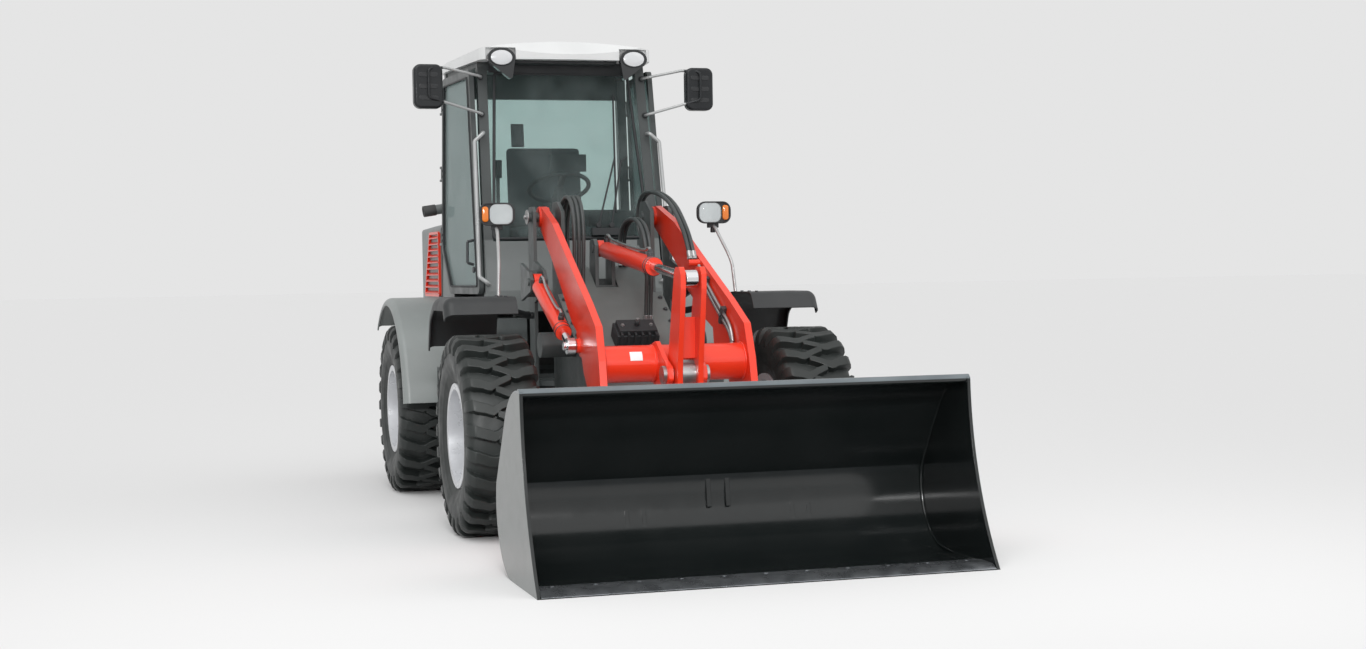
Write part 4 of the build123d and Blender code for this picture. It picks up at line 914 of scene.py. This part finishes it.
def makeHeadlamp(hand, side, setup):
    width, height, corner, front = setup["width"], setup["height"], setup["corner"], setup["front"]
    y, z = side * setup["y"], setup["z"]
    lensY, amberY = y - side * setup["lensIn"], y + side * setup["amberOut"]
    amberWidth, amberHeight, amberCorner = setup["amber"]

    def shellRing(x, k):
        return lampRing(x, y, z, width * k, height * k, corner * k)

    def lensRing(x, k):
        return lampRing(front + x, lensY, z, width * k * setup["lensWidth"], height * k, corner * k * 0.9)

    def amberRing(x, k):
        return lampRing(front + x, amberY, z, amberWidth * k, amberHeight * k, amberCorner * k)

    def newLayer(name, ring, form, finish):
        rings = [ring(x, k) for x, k in form]
        return newSkin(f"headlamp{name}_{hand}", rings, finish, "front_frame")

    shell = (
        (-0.019, 0.70), (-0.012, 0.86), (0.004, 0.96), (front - 0.012, 1.0), (front - 0.003, 1.0),
        (front, 0.97), (front, 0.90), (front - 0.008, 0.885),
    )
    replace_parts(newLayer("Shell", shellRing, shell, "cabTrim"), "headlamps")
    bowl = ((-0.004, 0.872), (-0.010, 0.80), (-0.020, 0.55), (-0.024, 0.22))
    newLayer("Bowl", lensRing, bowl, "lampSilver")
    shape = bmesh.new()
    for drop in (-0.027, 0.027):
        bulb = Vector((front - 0.022, lensY + drop, z))
        addBead(shape, bulb + Vector((0.006, 0, 0)), (1, 0, 0), 0.021, 0.0022, 32)
        addRod(shape, bulb, bulb + Vector((0.012, 0, 0)), 0.0075, 16, 0.003)
    newPiece(f"headlampBulbs_{hand}", shape, "darkSteel", "front_frame")
    dome = ((-0.006, 0.868), (-0.001, 0.84), (0.0035, 0.66), (0.005, 0.36))
    newLayer("Lens", lensRing, dome, "clearLens")
    newLayer("Amber", amberRing, ((-0.008, 1.0), (0.001, 0.96), (0.004, 0.7)), "amberLens")
    shape = bmesh.new()
    addBlock(shape, (-0.006, y - 0.03, z - 0.082), (0.020, y + 0.03, z - 0.056))
    addRod(shape, (0.008, y, z - 0.082), (0.008, y, z - 0.108), 0.014, 20, 0.003)
    newPiece(f"headlampFoot_{hand}", shape, "cabTrim", "front_frame", 0.003)
    stalk = [(stalkX, side * stalkY, stalkZ) for stalkX, stalkY, stalkZ in setup["stalk"]]
    makePipe(f"headlampStalk_{hand}", stalk, 0.009, "railPaint", "front_frame")


def makeRoofLamp(hand, side, setup):
    y, z, front = side * setup["y"], setup["z"], setup["front"]

    def oval(x, k):
        return [
            Vector((x, y + math.cos(a) * k * setup["width"] / 2, z + math.sin(a) * k * setup["height"] / 2))
            for a in anglesRound(40)
        ]

    def newLayer(name, form, finish):
        newSkin(f"roofLamp{name}_{hand}", [oval(front + x, k) for x, k in form], finish, "rear_frame")

    newLayer("Rim", ((0.0, 1.06), (0.005, 1.04), (0.006, 0.98), (0.002, 0.93)), "cabTrim")
    newLayer("Lens", ((0.0, 0.94), (0.004, 0.90), (0.008, 0.6), (0.009, 0.3)), "whiteLens")


for hand, side in hands.items():
    makeHeadlamp(hand, side, headlampSetup)
for hand, side in hands.items():
    makeRoofLamp(hand, side, roofLampSetup)
print("lamps made")

# Cab: seals, wipers, handles, mirror glass, header strip

cabSetup = {
    "sill": 1.462, "head": 2.443, "lowHalf": 0.456, "highHalf": 0.395, "seal": 0.009,
    "doorSeal": ((0.130, 1.440), (0.130, 2.408), (0.696, 2.408), (0.945, 1.206), (0.322, 1.206)),
}
# along the side from its rear corner, height, and for the handle how far out
doorSetup = {
    "handleAt": 0.86, "handle": ((1.33, 0.033), (1.34, 0.07), (1.46, 0.07), (1.47, 0.033)),
    "lock": (0.885, 1.30), "hingeAt": 0.098, "hinges": (1.50, 1.887, 2.29),
}
wiperSetup = {                     # height and y of each point on the screen
    "arms": (
        ((1.546, 0.155), (1.932, 0.278), (2.308, 0.300)), ((1.545, 0.232), (1.919, 0.317), (1.970, 0.395)),
    ),
    "blade": ((1.62, 0.268), (2.308, 0.300)),
}
mirrorSetup = {
    "y": 0.800, "z": 2.340, "glass": (0.145, 0.230, 0.03), "rib": (0.115, 0.028, 0.013),
    "ribs": (2.275, 2.34, 2.405), "feet": ((0.480, 2.407), (0.485, 2.190)),
}


def rounded(points, near):
    # two points beside each corner, so a smooth line keeps its straights
    made = []
    for n, here in enumerate(points):
        here = Vector(here)
        before, after = Vector(points[n - 1]), Vector(points[(n + 1) % len(points)])
        made.append(here + (before - here).normalized() * near)
        made.append(here)
        made.append(here + (after - here).normalized() * near)
    return made


def makeCabSeals(setup):
    sill, head, low, high = setup["sill"], setup["head"], setup["lowHalf"], setup["highHalf"]
    border = [(screenX(sill) + 0.003, y, sill + 0.012) for y in (-low, low)]
    border += [(screenX(head) + 0.003, y, head - 0.012) for y in (high, -high)]
    makePipe("screenSeal", rounded(border, 0.04), setup["seal"], "cabTrim", "rear_frame", True)
    for hand, side in hands.items():
        line = [cabSide(side, u, z, 0.034) for u, z in setup["doorSeal"]]
        makePipe(f"doorSeal_{hand}", rounded(line, 0.05), 0.006, "cabTrim", f"door_{hand}", True)


def onScreen(spot, out):
    z, y = spot
    return Vector((screenX(z) + out, y, z))


def makeWipers(setup):
    # two arms, the long one's blade and the housing at their feet
    shape = bmesh.new()
    for foot, middle, tip in setup["arms"]:
        foot, middle, tip = onScreen(foot, 0.03), onScreen(middle, 0.022), onScreen(tip, 0.010)
        addRod(shape, foot - Vector((0.022, 0, 0)), foot + Vector((0.008, 0, 0)), 0.016, 20, 0.003)
        addRod(shape, foot, middle, 0.0055, 10)
        addRod(shape, middle, middle.lerp(tip, 0.55), 0.004, 10)
    low, high = (onScreen(spot, 0.009) for spot in setup["blade"])
    reach = (high - low).length
    addFramedBlock(shape, low, high - low, (1, 0, 0.21), (0, -0.004, -0.006), (reach, 0.004, 0.008))
    addBlock(shape, (screenX(1.5) + 0.004, 0.11, 1.488), (screenX(1.5) + 0.05, 0.28, 1.53))
    newPiece("wipers", shape, "cabTrim", "rear_frame", 0.0015)


def makeDoorFittings(hand, side, setup):
    # handle, lock and the bolts of three hinges
    shape = bmesh.new()
    spots = [cabSide(side, setup["handleAt"], z, out) for z, out in setup["handle"]]
    for start, end in zip(spots, spots[1:]):
        addRod(shape, start, end, 0.008, 12, 0.001)
    u, height = setup["lock"]
    addRod(shape, cabSide(side, u, height, 0.033), cabSide(side, u, height, 0.045), 0.018, 24, 0.003)
    for z in setup["hinges"]:
        for drop in (-0.018, 0.018):
            foot = cabSide(side, setup["hingeAt"], z + drop, 0.034)
            addBolt(shape, foot, cabSide(side, setup["hingeAt"], z + drop, 1.034) - foot, 0.006)
    newPiece(f"doorHandle_{hand}", shape, "darkSteel", f"door_{hand}")


def makeMirrors(setup):
    # the glass, and ribs and feet on the cases
    glass, ribs = bmesh.new(), bmesh.new()

    def addPlate(shape, side, z, form, faces):
        rings = [lampRing(x, side * setup["y"], z, *(size * k for size in form)) for x, k in faces]
        addRings(shape, rings)

    for side in (-1, 1):
        addPlate(glass, side, setup["z"], setup["glass"], ((-0.9002, 1.0), (-0.9015, 0.99)))
        for z in setup["ribs"]:
            addPlate(ribs, side, z, setup["rib"], ((-0.846, 1.0), (-0.8425, 0.9)))
        for y, z in setup["feet"]:
            foot = Vector((screenX(z) - 0.008, side * y, z))
            addRod(ribs, foot, foot + Vector((0.03, 0, 0)), 0.017, 20, 0.003)
    newPiece("mirrorGlass", glass, "mirrorFace", "rear_frame")
    newPiece("mirrorRibs", ribs, "cabTrim", "rear_frame")


def makeHeader():
    # dark strip under the roof's front edge and the dark lip inside it
    shape = bmesh.new()
    addBlock(shape, (-0.9885, -0.43, 2.435), (-0.983, 0.43, 2.4945))
    addBlock(shape, (-1.005, -0.30, 2.478), (-0.86, 0.30, 2.4945))
    newPiece("headerStrip", shape, "cabTrim", "rear_frame", 0.002)


makeCabSeals(cabSetup)
makeWipers(wiperSetup)
for hand, side in hands.items():
    makeDoorFittings(hand, side, doorSetup)
makeMirrors(mirrorSetup)
makeHeader()
print("cab dressed")

# Seat: padded cushion, backrest and headrest on a folded base

padSetup = {
    "cuts": 11, "crown": 0.26, "shrink": 0.10, "seams": (-0.14, 0.14), "seamWidth": 0.006, "fill": 0.8,
}
seatPads = {
    "seatCushion": {"low": (-1.560, -0.250, 1.470), "high": (-1.120, 0.250, 1.560), "lean": 0.0},
    "seatBack": {"low": (-1.560, -0.225, 1.565), "high": (-1.440, 0.225, 2.035), "lean": -0.105},
    "seatHeadrest": {"low": (-1.600, -0.183, 2.045), "high": (-1.540, -0.107, 2.187), "lean": -0.105},
}
baseSetup = {
    "foot": ((-1.50, -0.18, 1.1106), (-1.18, 0.18, 1.20)),
    "top": ((-1.52, -0.20, 1.432), (-1.15, 0.20, 1.470)),
    "foldsFrom": 1.20, "folds": 8, "fold": 0.029, "foldIn": 0.012,
}


def makePad(name, setup):
    # a crowned box, thinner towards its edges, with seams across the wide ones
    low, high = Vector(setup["low"]), Vector(setup["high"])
    middle, half = (low + high) / 2, (high - low) / 2
    shape = bmesh.new()
    bmesh.ops.create_cube(shape, size=2.0)
    bmesh.ops.subdivide_edges(shape, edges=shape.edges, cuts=padSetup["cuts"], use_grid_fill=True)
    thin = min(range(3), key=lambda axis: half[axis])
    seams = padSetup["seams"] if half.y > 0.2 else ()
    for vert in shape.verts:
        p = vert.co.copy()
        others = [p[axis] for axis in range(3) if axis != thin]
        crown = (1 - abs(others[0]) ** 4) * (1 - abs(others[1]) ** 4)
        shrink = 1 - padSetup["shrink"] * abs(p[thin]) ** 3
        moved = Vector((p.x * half.x, p.y * half.y, p.z * half.z))
        for axis in range(3):
            moved[axis] *= 0.72 + padSetup["crown"] * crown if axis == thin else shrink
        seam = sum(math.exp(-((moved.y - spot) / padSetup["seamWidth"]) ** 2) for spot in seams)
        moved[thin] *= 1 - 0.10 * seam
        moved.x += setup["lean"] * moved.z
        vert.co = middle + moved
    pad = newPiece(name, shape, "seatCloth", "rear_frame", crease=180)
    smooth = pad.modifiers.new("Round", "SUBSURF")
    smooth.levels = smooth.render_levels = 1
    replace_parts(pad, "seat")


def makeSeatBase(setup):
    shape = bmesh.new()
    addBlock(shape, *setup["foot"])
    for n in range(setup["folds"]):
        z = setup["foldsFrom"] + n * setup["fold"]
        inset = setup["foldIn"] if n % 2 else 0.0
        addBlock(
            shape, (-1.48 + inset, -0.165 + inset, z), (-1.20 - inset, 0.165 - inset, z + setup["fold"])
        )
    addBlock(shape, *setup["top"])
    base = newPiece("seatBase", shape, "cabTrim", "rear_frame", 0.005)
    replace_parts(base, "seat")


for name, setup in seatPads.items():
    makePad(name, setup)
makeSeatBase(baseSetup)
print("seat made")

# Bucket edge, fender bolts, exhaust tip

bucketEdge = {
    "half": 0.9735, "plugX": 2.545, "plugReach": 0.9, "plugs": 11,
    "outline": ((2.50, 0.0125), (2.512, 0.024), (2.648, 0.024), (2.6885, 0.0035), (2.648, 0.0125)),
    "sideWeld": (
        (2.385, 0.787), (2.300, 0.776), (2.222, 0.752), (2.160, 0.708), (2.110, 0.649), (2.010, 0.511),
        (1.914, 0.378), (1.904, 0.270), (1.940, 0.150), (2.030, 0.055), (2.168, 0.0125), (2.500, 0.0125),
    ),
}
fenderBolts = {
    "front": ("front_frame", ((0.30, 1.157), (0.42, 1.157), (0.54, 1.157))),
    "rear": ("rear_frame", ((-1.30, 1.127), (-1.42, 1.140), (-1.54, 1.130))),
}
exhaustSetup = {
    "end": (-1.775, -0.690, 1.665), "along": (0, -0.9893, -0.1455),
    "profile": (                   # distance past the end, radius
        (-0.07, 0.0305), (-0.068, 0.034), (0.006, 0.034), (0.008, 0.0325), (0.008, 0.0265), (0.001, 0.0255),
        (0.001, 0.005),
    ),
}


def makeBucketEdge(setup):
    half = setup["half"]
    rings = [[Vector((x, y, z)) for x, z in setup["outline"]] for y in (-half, half)]
    newSkin("cuttingEdge", rings, "edgeSteel", "bucket", 0.001)
    shape = bmesh.new()
    for y in evenly(-setup["plugReach"], setup["plugReach"], setup["plugs"]):
        addRod(shape, (setup["plugX"], y, 0.024), (setup["plugX"], y, 0.0275), 0.014, 20, 0.002)
    newPiece("edgePlugs", shape, "edgeSteel", "bucket")
    for hand, side in hands.items():
        bead = [(x, side * half, z) for x, z in setup["sideWeld"]]
        makePipe(f"sideWeld_{hand}", bead, 0.0065, "bucketPaint", "bucket")


def makeFenderBolts(end, body, spots):
    shape = bmesh.new()
    for side in (-1, 1):
        for x, z in spots:
            addBolt(shape, (x, side * 0.66, z), (0, 0, 1), 0.009)
    newPiece(f"{end}FenderBolts", shape, "darkSteel", body)


def makeExhaustTip(setup):
    end, along = Vector(setup["end"]), Vector(setup["along"])
    rings = [circle(end + along * reach, along, radius, 32) for reach, radius in setup["profile"]]
    newSkin("exhaustTip", rings, "castIron", "rear_frame")


makeBucketEdge(bucketEdge)
for end, (body, spots) in fenderBolts.items():
    makeFenderBolts(end, body, spots)
makeExhaustTip(exhaustSetup)
print("bucket, fenders and exhaust dressed")
